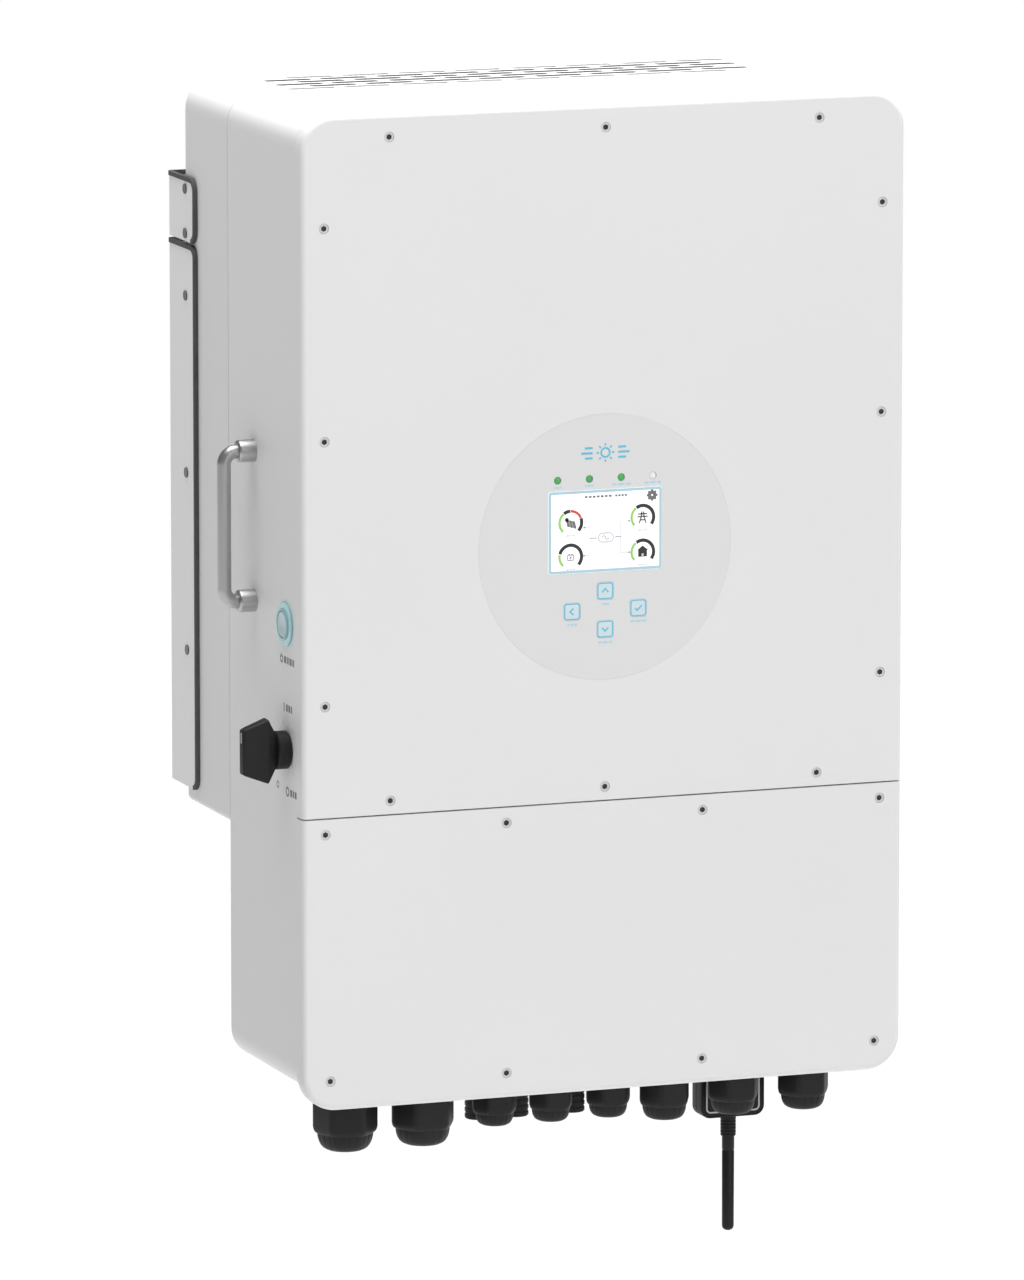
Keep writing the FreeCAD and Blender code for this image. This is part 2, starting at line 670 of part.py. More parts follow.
def keys():
    for label, (x, z) in KEYS.items():
        body = new_body(label)
        reach = s.key_size / 2 - s.key_play
        wide = reach + 1
        flange_front = SKIN_BACK + 0.1
        flange_back = flange_front + 0.8
        grow(body, "XZ", flange_front, FRONT,
             [rounded(x - reach, x + reach, z - reach, z + reach, s.key_round - s.key_play)])
        grow(body, "XZ", flange_back, flange_front, [rounded(x - wide, x + wide, z - wide, z + wide, 2)])
        grow(body, "XZ", flange_back + 1.2, flange_back, [circle(x, z, s.key_stem)])


# ---------------------------------------------------------------- side controls

def start_button():
    wall_face = -HOUSING_HALF
    barrel_end = wall_face + s.wall + s.button_barrel

    def ring(radius):
        return circle(BUTTON_Y, BUTTON_Z, radius)

    bezel = new_body("start_button_bezel")
    rim_face, collar_face = wall_face - s.button_rim, wall_face - s.button_collar
    grow(bezel, "YZ", wall_face, rim_face, [ring(s.button_ring)])
    grow(bezel, "YZ", rim_face, collar_face, [ring(s.button_inner_ring)])
    grow(bezel, "YZ", wall_face, barrel_end, [ring(s.button_inner_ring)])
    carve(bezel, "YZ", collar_face, barrel_end, [ring(s.button_cap + SLIP)])
    light = new_body("start_button_ring_light")
    grow(light, "YZ", rim_face, wall_face - s.button_light,
         [ring(s.button_ring - 0.4), ring(s.button_inner_ring + SLIP)])
    cap = new_body("start_button_cap")
    cap_back = wall_face + 1
    grow(cap, "YZ", wall_face - s.button_face, cap_back, [ring(s.button_cap)])
    grow(cap, "YZ", cap_back, barrel_end - 3, [ring(s.button_stem)])
    switch = new_body("start_button_switch")
    half = s.button_switch_half
    grow(switch, "YZ", barrel_end, barrel_end + s.button_switch_long,
         [rectangle(BUTTON_Y - half, BUTTON_Y + half, BUTTON_Z - half, BUTTON_Z + half)])


def dc_switch():
    wall_face = -HOUSING_HALF
    inner = wall_face + s.wall
    knob = new_body("dc_switch_knob")
    level = wall_face - s.knob_gap
    grow(knob, "YZ", level, wall_face - s.knob_base, [circle(0, 0, s.knob_base_radius)])

    def section(thick, long):
        return [rounded(-thick / 2, thick / 2, -long / 2, long / 2, 2)]

    neck = draw_sketch(knob, "YZ", wall_face - s.knob_base,
                       section(s.knob_thick, s.knob_base_radius * 2 - 2))
    shoulder = draw_sketch(knob, "YZ", wall_face - s.knob_shoulder,
                           section(s.knob_thick, s.knob_long))
    tip = draw_sketch(knob, "YZ", wall_face - s.knob_reach,
                      section(s.knob_tip_thick, s.knob_tip_long))
    for name, start, end in (("neck", neck, shoulder), ("grip", shoulder, tip)):
        loft = knob.newObject("PartDesign::AdditiveLoft", name)
        loft.Profile = start
        loft.Sections = [end]
        loft.Ruled = True
    carve(knob, "YZ", level, level - s.knob_socket, [circle(0, 0, s.shaft_radius + SLIP / 2)])
    place(knob, (0, KNOB_Y, KNOB_Z))
    shaft = new_body("dc_switch_shaft")
    shaft_end = inner + 20
    grow(shaft, "YZ", level - s.knob_socket + 0.5, shaft_end, [circle(KNOB_Y, KNOB_Z, s.shaft_radius)])
    switch = new_body("dc_switch_body")
    case_start = inner + s.isolator_start
    grow(switch, "YZ", case_start, inner + s.isolator_end,
         [rounded(KNOB_Y - s.isolator_front, KNOB_Y + s.isolator_rear,
                  KNOB_Z - s.isolator_half, KNOB_Z + s.isolator_half, 3)])
    grow(switch, "YZ", inner, case_start, [circle(KNOB_Y, KNOB_Z, s.isolator_neck)])
    carve(switch, "YZ", inner, shaft_end + THROUGH, [circle(KNOB_Y, KNOB_Z, s.shaft_radius + SLIP)])


def handles():
    """Two bent bars, each held by two ferrules that are screwed on from inside."""
    outward = FreeCAD.Rotation()
    turned = FreeCAD.Rotation(FreeCAD.Vector(0, 0, 1), 180)
    sides = (("right", HOUSING_HALF, outward), ("left", -HOUSING_HALF, turned))
    seat = s.ferrule_length - s.ferrule_seat
    reach, bend = s.grip_reach, s.grip_bend
    post = s.grip_span / 2
    for side, wall_face, turn in sides:
        bar = new_body(side + "_handle_bar")
        spine = draw_sketch(bar, "XZ", 0, [grip_route(seat, reach, bend, post)])
        profile = draw_sketch(bar, "YZ", seat, [circle(0, post, s.grip_radius)])
        pipe = bar.newObject("PartDesign::AdditivePipe", "grip")
        pipe.Profile = profile
        pipe.Spine = (spine, ["Edge%d" % number for number in range(1, 6)])
        ferrules = new_body(side + "_handle_ferrules")
        posts = [(0, post * end) for end in (-1, 1)]
        grow(ferrules, "YZ", 0, s.ferrule_length, circles(posts, s.ferrule_radius))
        carve(ferrules, "YZ", s.ferrule_length, seat, circles(posts, s.grip_radius + SLIP / 2))
        carve(ferrules, "YZ", 0, s.handle_screw_in, circles(posts, s.handle_screw + SLIP / 2))
        for body in (bar, ferrules):
            place(body, (wall_face, HANDLE_Y, HANDLE_Z), turn)
    screws = new_body("handle_screws")
    for side in (-1, 1):
        inner = (HOUSING_HALF - s.wall) * side
        end = (HOUSING_HALF + s.handle_screw_in - 0.5) * side
        grow(screws, "YZ", inner, end, circles(HANDLE_SCREWS, s.handle_screw))
        grow(screws, "YZ", inner, inner - 3 * side, circles(HANDLE_SCREWS, s.handle_screw_head))


def grip_route(start, reach, bend, post):
    """The handle's centre line: out of one ferrule, down the grip and into the other."""
    start, reach, bend, post = sized(start), sized(reach), sized(bend), sized(post)
    elbow = reach - bend

    def draw(outline):
        first = outline.add(Part.LineSegment(vector(start, post), vector(elbow, post)))
        top_arc = outline.add(Part.ArcOfCircle(round_curve(elbow, post - bend, bend), 0, math.pi / 2))
        grip = outline.add(Part.LineSegment(vector(reach, post - bend), vector(reach, bend - post)))
        low_arc = outline.add(Part.ArcOfCircle(round_curve(elbow, bend - post, bend), -math.pi / 2, 0))
        last = outline.add(Part.LineSegment(vector(elbow, -post), vector(start, -post)))
        for one, one_end, other, other_end in ((first, 2, top_arc, 2), (top_arc, 1, grip, 1),
                                               (grip, 2, low_arc, 2), (low_arc, 1, last, 1)):
            outline.hold("Tangent", one, one_end, other, other_end)
        outline.pin(first, 1, start, post)
        outline.pin(last, 2, start, -post)
        for line, direction in ((first, "Horizontal"), (grip, "Vertical"), (last, "Horizontal")):
            outline.hold(direction, line)
        for arc in (top_arc, low_arc):
            outline.measure("Radius", arc, bend)
        outline.measure("DistanceX", -1, 1, grip, 1, reach)

    return draw


# ---------------------------------------------------------------- rear plates and wall bracket

def rear_plate(label, high, low, screws):
    """A U of sheet metal: a web behind the shroud and a flange along each of its sides."""
    body = new_body(label)
    edge = FRONT + s.flange_front
    inner = PLATE_HALF - s.sheet
    grow(body, "XY", low, high, [polygon([
        (-PLATE_HALF, edge), (-PLATE_HALF, WEB_BACK), (PLATE_HALF, WEB_BACK), (PLATE_HALF, edge),
        (inner, edge), (inner, WEB_FRONT), (-inner, WEB_FRONT), (-inner, edge)])])
    back, half = WEB_BACK.value, PLATE_HALF.value

    def outer_bend(box):
        return box.ZLength > 30 and box.YMin > back - 0.01 and abs(abs(box.Center.x) - half) < 0.01

    def flange_corner(box):
        return abs(box.XLength - s.sheet.value) < 0.01 and box.YMax < edge.value + 0.01

    round_edges(body, s.sheet_bend, outer_bend)
    round_edges(body, s.flange_corner, flange_corner)
    carve(body, "YZ", PLATE_HALF + THROUGH, -PLATE_HALF - THROUGH, circles(screws, SCREW_HOLE))
    return body


def hanger_plate():
    high, low = TOP - s.hanger_top_drop, TOP - s.hanger_low_drop
    body = rear_plate("hanger_plate", high, low, HANGER_SCREWS)
    lip_back = -s.hook_back
    lip_front = lip_back - s.sheet
    under = high - s.sheet
    grow(body, "YZ", -s.tongue_half_width, s.tongue_half_width, [polygon([
        (WEB_FRONT, under), (WEB_FRONT, high), (lip_back, high), (lip_back, high - s.hook_drop),
        (lip_front, high - s.hook_drop), (lip_front, under)])])


def wall_bracket():
    """A bolted plate with a tongue that stands up inside the hanger plate's hook."""
    body = new_body("wall_bracket")
    half_width, half_height = s.bracket_width / 2, s.bracket_height / 2
    plate_front = -s.bracket_sheet
    grow(body, "XZ", 0, plate_front,
         [rounded(-half_width, half_width, -half_height, half_height, 6)])
    tongue_top = TOP - s.hanger_top_drop - s.sheet - s.hook_play
    tongue_back = -s.tongue_back
    tongue_front = tongue_back - s.tongue_sheet
    shelf = s.tongue_shelf
    tongue_half = s.tongue_half_width - s.hook_play
    grow(body, "YZ", -tongue_half, tongue_half, [polygon([
        (plate_front, shelf), (tongue_front, shelf), (tongue_front, tongue_top),
        (tongue_back, tongue_top), (tongue_back, shelf + s.tongue_sheet),
        (plate_front, shelf + s.tongue_sheet)])])
    bolts = [(s.bolt_spacing_x / 2 * i, s.bolt_spacing_z / 2 * j) for i in (-1, 1) for j in (-1, 1)]
    carve(body, "XZ", plate_front, 0, circles(bolts, s.bolt_hole_radius))


def side_screws(label, places):
    """Pan-head screws through the plate's flanges into the shroud, on both sides."""
    body = new_body(label)
    for side in (-1, 1):
        face = PLATE_HALF * side
        grow(body, "YZ", (HOUSING_HALF - s.shroud_wall - 2) * side, face, circles(places, s.screw_radius))
        grow(body, "YZ", face, face + s.pan_head * side, circles(places, s.pan_head_radius))


# ---------------------------------------------------------------- cooling

def heatsink():
    body = new_body("heatsink")
    overlap = s.base_overlap
    half = s.window_width / 2 + overlap
    plate_back = HOUSING_BACK + s.base_plate
    grow(body, "XZ", plate_back, HOUSING_BACK,
         [rounded(-half, half, -s.window_bottom - overlap, s.window_top + overlap, 6)])
    span = s.window_width - s.fin_pitch
    first = -span / 2
    fin = grow(body, "XZ", plate_back + s.fin_height, plate_back,
               [rectangle(first - s.fin_thickness / 2, first + s.fin_thickness / 2,
                          -s.window_bottom, s.window_top)])
    repeat(body, fin, span, int(span.value / s.fin_pitch.value) + 1)


def fan_rotor(side, x):
    """A hub cup with seven pitched blades, modelled about its own axis."""
    body = new_body("fan_rotor_" + side)
    hub_low, hub_high = 5, 23
    middle = (hub_low + hub_high) / 2
    root, height = s.fan_hub - 3, 6
    lean, thick = 6.5, 1.6
    grow(body, "XY", hub_low, hub_high, [circle(0, 0, s.fan_hub)])
    blade = grow(body, "YZ", root, s.fan_blade, [polygon([
        (-lean, middle - height), (thick - lean, middle - height), (lean, middle + height),
        (lean - thick, middle + height)])])
    document.recompute()
    blades = body.newObject("PartDesign::PolarPattern", "blades")
    blades.Originals = [blade]
    z_axis = next(part for part in body.Origin.OriginFeatures if part.Role == "Z_Axis")
    blades.Axis = (z_axis, [""])
    blades.Angle = 360
    blades.Occurrences = 7
    body.Tip = blades
    carve(body, "XY", hub_low, hub_high - 3, [circle(0, 0, s.fan_post + SLIP / 2)])
    place(body, (x, FAN_Y, FAN_LOW))


def fans():
    """A frame with a motor post on four spokes for each rotor, and the screws that hold it."""
    for side, x in FAN_X.items():
        fan_rotor(side, x)
    frames = new_body("fan_frames")
    half, reach, spoke = s.fan_size / 2, s.fan_bore + 0.5, 2
    grow(frames, "XY", FAN_LOW, FAN_TOP,
         [rounded(x - half, x + half, y - half, y + half, 4) for x, y in FAN_HUBS])
    carve(frames, "XY", FAN_TOP, FAN_LOW,
          circles(FAN_HUBS, s.fan_bore) + circles(FAN_SCREWS, s.fan_screw + SLIP))
    grow(frames, "XY", FAN_LOW, FAN_LOW + 3,
         [rectangle(x - reach, x + reach, y - spoke, y + spoke) for x, y in FAN_HUBS])
    grow(frames, "XY", FAN_LOW, FAN_LOW + 3,
         [rectangle(x - spoke, x + spoke, y - reach, y + reach) for x, y in FAN_HUBS])
    motor_top = FAN_LOW + 4
    grow(frames, "XY", FAN_LOW, motor_top, circles(FAN_HUBS, s.fan_hub))
    grow(frames, "XY", motor_top, motor_top + 15, circles(FAN_HUBS, s.fan_post))
    screws = new_body("fan_screws")
    head_top = SHROUD_LOW - s.guard
    grow(screws, "XY", head_top, FAN_LOW + 12, circles(FAN_SCREWS, s.fan_screw))
    grow(screws, "XY", head_top, head_top - 2, circles(FAN_SCREWS, 3.6))


def fan_guards():
    """A rosette of wire rings on two crossed bars, under each fan opening."""
    guards = new_body("fan_guards")
    low = SHROUD_LOW - s.guard
    wire_top = low + s.guard_wire
    reach = s.fan_screw_place
    side = s.guard_wire / math.sqrt(2)
    grow(guards, "XY", low, SHROUD_LOW, circles(FAN_SCREWS, s.guard_tab))
    for x, y in FAN_HUBS:
        for lean in (-1, 1):
            grow(guards, "XY", low, wire_top, [polygon([
                (x - reach - side, y - (reach - side) * lean),
                (x - reach + side, y - (reach + side) * lean),
                (x + reach + side, y + (reach - side) * lean),
                (x + reach - side, y + (reach + side) * lean)])])
        for radius in (12, 20, 28, 36):
            grow(guards, "XY", low, wire_top,
                 [circle(x, y, radius + s.guard_wire / 2), circle(x, y, radius - s.guard_wire / 2)])
    carve(guards, "XY", SHROUD_LOW, low, circles(FAN_SCREWS, s.fan_screw + SLIP / 2))


# ---------------------------------------------------------------- cable entry side

def glands():
    """Body, dome nut, seal and locknut of each cable gland."""
    bodies = new_body("gland_bodies")
    nuts = new_body("gland_dome_nuts")
    seals = new_body("gland_seals")
    locknuts = new_body("gland_locknuts")
    collar_low = HOUSING_LOW - s.gland_collar
    nut_top = collar_low - s.gland_play
    inside = HOUSING_LOW + s.wall
    spigot_top = inside + s.gland_spigot
    for size, (thread, flats, tip_drop, bore) in GLAND_SIZES.items():
        places = [(x, GLAND_Y) for x, kind in GLANDS if kind == size]
        tip = TOP - tip_drop
        shoulder, end_wall = tip + s.gland_dome, tip + s.gland_end_wall
        neck = thread - 1.5
        neck_low = end_wall + 3
        seal_low, seal_top = end_wall + 0.2, neck_low + 14
        hexagons = [hexagon(x, y, flats) for x, y in places]
        grow(bodies, "XY", HOUSING_LOW, collar_low, hexagons)
        grow(bodies, "XY", HOUSING_LOW, spigot_top, circles(places, thread))
        grow(bodies, "XY", collar_low, neck_low, circles(places, neck))
        carve(bodies, "XY", spigot_top, neck_low, circles(places, bore))
        carve(bodies, "XY", neck_low, seal_top, circles(places, neck - 1.2))
        grow(nuts, "XY", nut_top, shoulder, hexagons)
        grow(nuts, "XY", shoulder, tip, circles(places, flats / 2), taper=-18)
        carve(nuts, "XY", nut_top, end_wall, circles(places, neck + SLIP))
        carve(nuts, "XY", end_wall, tip, circles(places, bore))
        grow(seals, "XY", seal_top - 0.2, seal_low, circles(places, neck - 1.3))
        carve(seals, "XY", seal_top - 0.2, seal_low, circles(places, bore))
        grow(locknuts, "XY", inside, inside + 6, hexagons)
        carve(locknuts, "XY", inside + 6, inside, circles(places, thread + SLIP))


def pv_sockets():
    sockets = new_body("pv_sockets")
    tip = TOP - s.pv_drop
    inside = HOUSING_LOW + s.wall
    flange_low, skirt_top = HOUSING_LOW - 5, HOUSING_LOW - 16
    grow(sockets, "XY", HOUSING_LOW, flange_low, circles(PV_PLACES, s.pv_radius - 0.5))
    grow(sockets, "XY", HOUSING_LOW, inside + 14, circles(PV_PLACES, s.pv_neck))
    grow(sockets, "XY", flange_low, skirt_top, circles(PV_PLACES, s.pv_neck + 0.8))
    grow(sockets, "XY", skirt_top, tip, circles(PV_PLACES, s.pv_radius))
    carve(sockets, "XY", tip, tip + s.pv_hole_depth, circles(PV_PLACES, s.pv_hole))
    nuts = new_body("pv_socket_nuts")
    grow(nuts, "XY", inside, inside + 5, [hexagon(x, y, 18) for x, y in PV_PLACES])
    carve(nuts, "XY", inside + 5, inside, circles(PV_PLACES, s.pv_neck + SLIP))


def data_logger():
    high, low = TOP - s.logger_top_drop, TOP - s.logger_drop
    half = s.logger_width / 2
    front, back = LOGGER_Y - s.logger_thick / 2, LOGGER_Y + s.logger_thick / 2
    body = new_body("logger_body")
    grow(body, "XZ", back, front, [rounded(LOGGER_X - half, LOGGER_X + half, low, high, 3, 7)])
    collar = new_body("logger_collar")
    inside = HOUSING_LOW + s.wall
    grow(collar, "XY", HOUSING_LOW, high, [circle(LOGGER_X, LOGGER_Y, s.logger_collar)])
    grow(collar, "XY", HOUSING_LOW, inside + 8, [circle(LOGGER_X, LOGGER_Y, s.logger_neck)])
    ferrule = new_body("antenna_ferrule")
    ferrule_low = TOP - s.ferrule_drop
    grow(ferrule, "XY", low, ferrule_low, [circle(LOGGER_X, LOGGER_Y, s.antenna_ferrule_radius)])
    whip = new_body("antenna_whip")
    tip = TOP - s.antenna_drop
    grow(whip, "XY", ferrule_low, tip, [circle(LOGGER_X, LOGGER_Y, s.antenna_radius)])
    bottom = tip.value
    round_edges(whip, 3, lambda box: box.ZMax < bottom + 0.01)


# ---------------------------------------------------------------- electronics

def power_stage(board_front):
    """Modules on the heat sink's base plate, the board over them and what stands on it."""
    module_front = board_front + s.power_board_thick
    columns = (-120, -40, 40, 120)
    half_x, half_z = s.module_half_x, s.module_half_z
    modules = [block("module", (x - half_x, x + half_x), (module_front, HOUSING_BACK),
                     (z - half_z, z + half_z)) for x in columns for z in (-270, -60)]
    sub_part(grouped("power_modules", modules), "power_modules")
    board = block("power_board", (-172, 172), (board_front, module_front), (-352, 48))
    sub_part(board, "power_board")

    capacitors = new_body("dc_link_capacitors")
    cans = [(s.capacitor_pitch * (column - 3.5), z) for column in range(8) for z in (-140, -180)]
    grow(capacitors, "XZ", board_front, board_front - s.capacitor_height,
         circles(cans, s.capacitor_radius))

    inductors = new_body("inductors")
    coils = [(x, 0) for x in columns]
    coil_front = board_front - s.coil_height
    grow(inductors, "XZ", board_front, coil_front, circles(coils, s.coil_radius))
    carve(inductors, "XZ", coil_front, board_front - 6, circles(coils, s.coil_hole))

    half = s.relay_half
    relay_front = board_front - s.relay_height
    relays = [block("relay", (x - half, x + half), (relay_front, board_front), (-340, -312))
              for x in (-140, -100, -60, -20, 20, 60, 100, 140)]
    sub_part(grouped("relays", relays), "relays")


def control_stage(board_front):
    """The sheet-metal bridge over the power stage, with the control board on it."""
    sheet, leg = s.sheet, s.shield_leg
    shield_front = board_front - s.shield_height
    tall = (-s.shield_low, s.shield_high)
    pieces = [block("shield_web", (-leg - sheet, leg + sheet), (shield_front, shield_front + sheet), tall)]
    for side in (-1, 1):
        inner, outer, toe = leg * side, (leg + sheet) * side, (leg + 12) * side
        legs = (inner, outer) if side > 0 else (outer, inner)
        feet = (inner, toe) if side > 0 else (toe, inner)
        pieces.append(block("shield_leg", legs, (shield_front, HOUSING_FLOOR), tall))
        pieces.append(block("shield_foot", feet, (HOUSING_FLOOR - sheet, HOUSING_FLOOR), tall))
    sub_part(fused("shield_plate", pieces), "shield_plate")

    control = new_body("control_board")
    control_back = shield_front - s.control_gap
    control_front = control_back - s.board_thick
    grow(control, "XZ", control_back, control_front, [rounded(-130, 130, -330, -20, 3)])
    posts = circles([(x, z) for x in (-122, 122) for z in (-322, -175, -28)], 3)
    grow(control, "XZ", shield_front, control_back, posts)
    half = s.chip_half
    chips = [rectangle(x - half, x + half, z - half, z + half) for x in (-80, 0, 80) for z in (-80, -240)]
    grow(control, "XZ", control_front, control_front - s.chip_height, chips)


def terminal_blocks():
    high = SEAM - s.terminal_drop
    terminals = []
    for left, pitch, tall, count in TERMINAL_ROWS:
        for number in range(count):
            x = left + pitch * number
            terminals.append(block("terminal", (x, x + pitch - 1),
                                   (HOUSING_FLOOR - s.terminal_depth, HOUSING_FLOOR), (high - tall, high)))
    sub_part(grouped("terminal_blocks", terminals), "terminal_blocks")


# ---------------------------------------------------------------- build, check and write

def checked_shape(thing):
    shape = thing.Shape
    if shape.isNull() or not shape.isValid() or not shape.Solids:
        raise RuntimeError("%s has no valid solid" % thing.Label)
    return shape


def main():
    front_housing()
    rear_shroud()
    rear_joint_seal()
    upper_cover()
    lower_cover()
    cover_gasket("upper_cover_gasket", SEAM + s.seam_gap / 2, TOP, UPPER_SCREWS)
    cover_gasket("lower_cover_gasket", COVER_LOW, SEAM - s.seam_gap / 2, LOWER_SCREWS)
    cover_screws("upper_cover_screws", UPPER_SCREWS)
    cover_screws("lower_cover_screws", LOWER_SCREWS)
    control_overlay()
    display()
    keys()
    start_button()
    dc_switch()
    handles()
    rear_plate("rear_duct_plate", TOP - s.duct_top_drop, TOP - s.duct_low_drop, DUCT_SCREWS)
    hanger_plate()
    wall_bracket()
    side_screws("hanger_screws", HANGER_SCREWS)
    side_screws("duct_plate_screws", DUCT_SCREWS)
    heatsink()
    fans()
    fan_guards()
    glands()
    pv_sockets()
    data_logger()
    power_front = HOUSING_BACK - s.module_height - s.power_board_thick
    power_stage(power_front)
    control_stage(power_front)
    terminal_blocks()
    document.recompute()

    failed = [thing.Label for thing in document.Objects
              if "Invalid" in thing.State or "Error" in thing.State]
    if failed:
        raise RuntimeError("these objects failed: %s" % ", ".join(failed))
    shapes = {thing.Label: checked_shape(thing) for thing in sub_parts}
    os.makedirs("parts", exist_ok=True)
    for label, shape in shapes.items():
        shape.exportStep("parts/%s.step" % label)
        print("%-26s %3d solids %12.1f mm3" % (label, len(shape.Solids), shape.Volume))
    print("%d nodes" % len(shapes))


main()
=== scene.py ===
import json
import math

import bmesh
import bpy
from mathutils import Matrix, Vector


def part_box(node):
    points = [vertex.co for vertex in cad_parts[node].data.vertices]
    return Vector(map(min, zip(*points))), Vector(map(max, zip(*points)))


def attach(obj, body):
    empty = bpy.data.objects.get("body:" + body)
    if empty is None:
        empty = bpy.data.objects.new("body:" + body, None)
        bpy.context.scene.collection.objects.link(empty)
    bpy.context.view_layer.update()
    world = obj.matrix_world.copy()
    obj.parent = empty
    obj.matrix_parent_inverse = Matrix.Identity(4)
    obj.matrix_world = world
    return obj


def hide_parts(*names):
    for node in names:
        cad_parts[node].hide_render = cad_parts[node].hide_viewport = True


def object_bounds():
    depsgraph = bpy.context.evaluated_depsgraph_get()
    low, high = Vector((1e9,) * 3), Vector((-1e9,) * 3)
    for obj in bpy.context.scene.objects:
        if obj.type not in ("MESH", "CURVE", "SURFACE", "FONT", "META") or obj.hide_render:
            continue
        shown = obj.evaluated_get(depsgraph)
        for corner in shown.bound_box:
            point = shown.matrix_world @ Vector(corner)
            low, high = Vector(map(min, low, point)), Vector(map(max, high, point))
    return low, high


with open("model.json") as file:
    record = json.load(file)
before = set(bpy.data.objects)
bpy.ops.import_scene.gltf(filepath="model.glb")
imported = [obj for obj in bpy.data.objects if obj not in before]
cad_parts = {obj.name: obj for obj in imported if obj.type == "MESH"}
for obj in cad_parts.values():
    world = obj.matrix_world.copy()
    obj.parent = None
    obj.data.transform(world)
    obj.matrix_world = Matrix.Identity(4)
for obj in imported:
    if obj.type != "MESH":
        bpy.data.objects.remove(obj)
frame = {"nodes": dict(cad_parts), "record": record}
cad_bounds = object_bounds()

MM = 0.001
INVERTER = "inverter"

# The camera looks at the front from the left and a little above.
CAMERA_AZIMUTH = math.radians(20.17)
CAMERA_ELEVATION = math.radians(9.69)
CAMERA_DISTANCE = 7.433
CAMERA_LENS = 316.8
CAMERA_AIM = Vector((-0.0657, 0, -0.2621))


# ---- places, read from the frame

def lowest(node):
    return Vector(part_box(node)[0])


def highest(node):
    return Vector(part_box(node)[1])


def middle(node):
    return (lowest(node) + highest(node)) / 2


def solids(node):
    """The box (lowest, highest) of each separate solid in a CAD node, sorted from left to right."""
    mesh = bmesh.new()
    mesh.from_mesh(frame["nodes"][node].data)
    bmesh.ops.remove_doubles(mesh, verts=mesh.verts, dist=1e-6)
    waiting = set(mesh.verts)
    boxes = []
    while waiting:
        edge_of_search = [waiting.pop()]
        found = []
        while edge_of_search:
            vert = edge_of_search.pop()
            found.append(vert.co)
            for edge in vert.link_edges:
                other = edge.other_vert(vert)
                if other in waiting:
                    waiting.remove(other)
                    edge_of_search.append(other)
        corners = [[pick(co[axis] for co in found) for axis in range(3)] for pick in (min, max)]
        boxes.append((Vector(corners[0]), Vector(corners[1])))
    mesh.free()
    return sorted(boxes, key=lambda corners: (round(corners[0].x, 4), corners[0].z))


FRONT = lowest("upper_cover").y
LEFT_FACE = lowest("front_housing").x
RIGHT_FACE = highest("front_housing").x


# ---- materials

def node_tree(name):
    """A new material, its nodes, its links and its shader."""
    material = bpy.data.materials.new(name)
    material.use_nodes = True
    nodes = material.node_tree.nodes
    links = material.node_tree.links
    return material, nodes, links, nodes["Principled BSDF"]


def preset(node, **sockets):
    """Set inputs that stay the same all over; _ stands for a space in a socket's name."""
    for socket, value in sockets.items():
        node.inputs[socket.replace("_", " ")].default_value = value


def noise(nodes, links, scale, detail=3.0, stretch=(1, 1, 1)):
    """Noise in the object's own coordinates, in metres; stretch squeezes it along an axis."""
    coordinates = nodes.new("ShaderNodeTexCoord")
    mapping = nodes.new("ShaderNodeMapping")
    preset(mapping, Scale=stretch)
    texture = nodes.new("ShaderNodeTexNoise")
    preset(texture, Scale=scale, Detail=detail)
    links.new(coordinates.outputs["Object"], mapping.inputs["Vector"])
    links.new(mapping.outputs["Vector"], texture.inputs["Vector"])
    return texture.outputs["Fac"]


def ramp(nodes, links, factor, low, high):
    """A blend between two colours over the middle of a factor's range."""
    blend = nodes.new("ShaderNodeValToRGB")
    for stop, position, colour in zip(blend.color_ramp.elements, (0.3, 0.7), (low, high)):
        stop.position = position
        stop.color = (*colour, 1)
    links.new(factor, blend.inputs["Fac"])
    return blend.outputs["Color"]


def shaded(colour, factor):
    """A darker or lighter version of a colour."""
    return tuple(min(1.0, channel * factor) for channel in colour)


def spread(nodes, links, factor, low, high):
    """A number that follows a factor between two limits."""
    limits = nodes.new("ShaderNodeMapRange")
    preset(limits, To_Min=low, To_Max=high)
    links.new(factor, limits.inputs["Value"])
    return limits.outputs["Result"]


def bump(nodes, links, shader, height, strength, distance):
    """Relief, at most distance deep, where height varies."""
    relief = nodes.new("ShaderNodeBump")
    preset(relief, Strength=strength, Distance=distance)
    links.new(height, relief.inputs["Height"])
    links.new(relief.outputs["Normal"], shader.inputs["Normal"])


def finish(name, colour, roughness=(0.4, 0.5), grain=1500, relief=0.15, depth=0.05 * MM, mottle=9,
           variation=0.03, stretch=(1, 1, 1), **sockets):
    """A material with a fine grain, a slow mottle and a roughness that follows the grain."""
    material, nodes, links, shader = node_tree(name)
    fine = noise(nodes, links, grain, 2.0, stretch)
    slow = noise(nodes, links, mottle, 4.0)
    links.new(ramp(nodes, links, slow, shaded(colour, 1 - variation), shaded(colour, 1 + variation)),
              shader.inputs["Base Color"])
    links.new(spread(nodes, links, fine, *roughness), shader.inputs["Roughness"])
    bump(nodes, links, shader, fine, relief, depth)
    preset(shader, **sockets)
    return material


def powder_coat(name, colour):
    """Fine orange peel over a slow unevenness, as a baked powder coat has."""
    return finish(name, colour, roughness=(0.42, 0.56), grain=700, relief=0.22, depth=0.06 * MM,
                  mottle=5, variation=0.008, Specular_IOR_Level=0.35)


def moulded(name, colour, grain=2200, roughness=(0.42, 0.58)):
    """Spark-eroded texture of a moulded black part."""
    return finish(name, colour, roughness=roughness, grain=grain, relief=0.3, depth=0.05 * MM,
                  mottle=30, variation=0.12, Specular_IOR_Level=0.3)


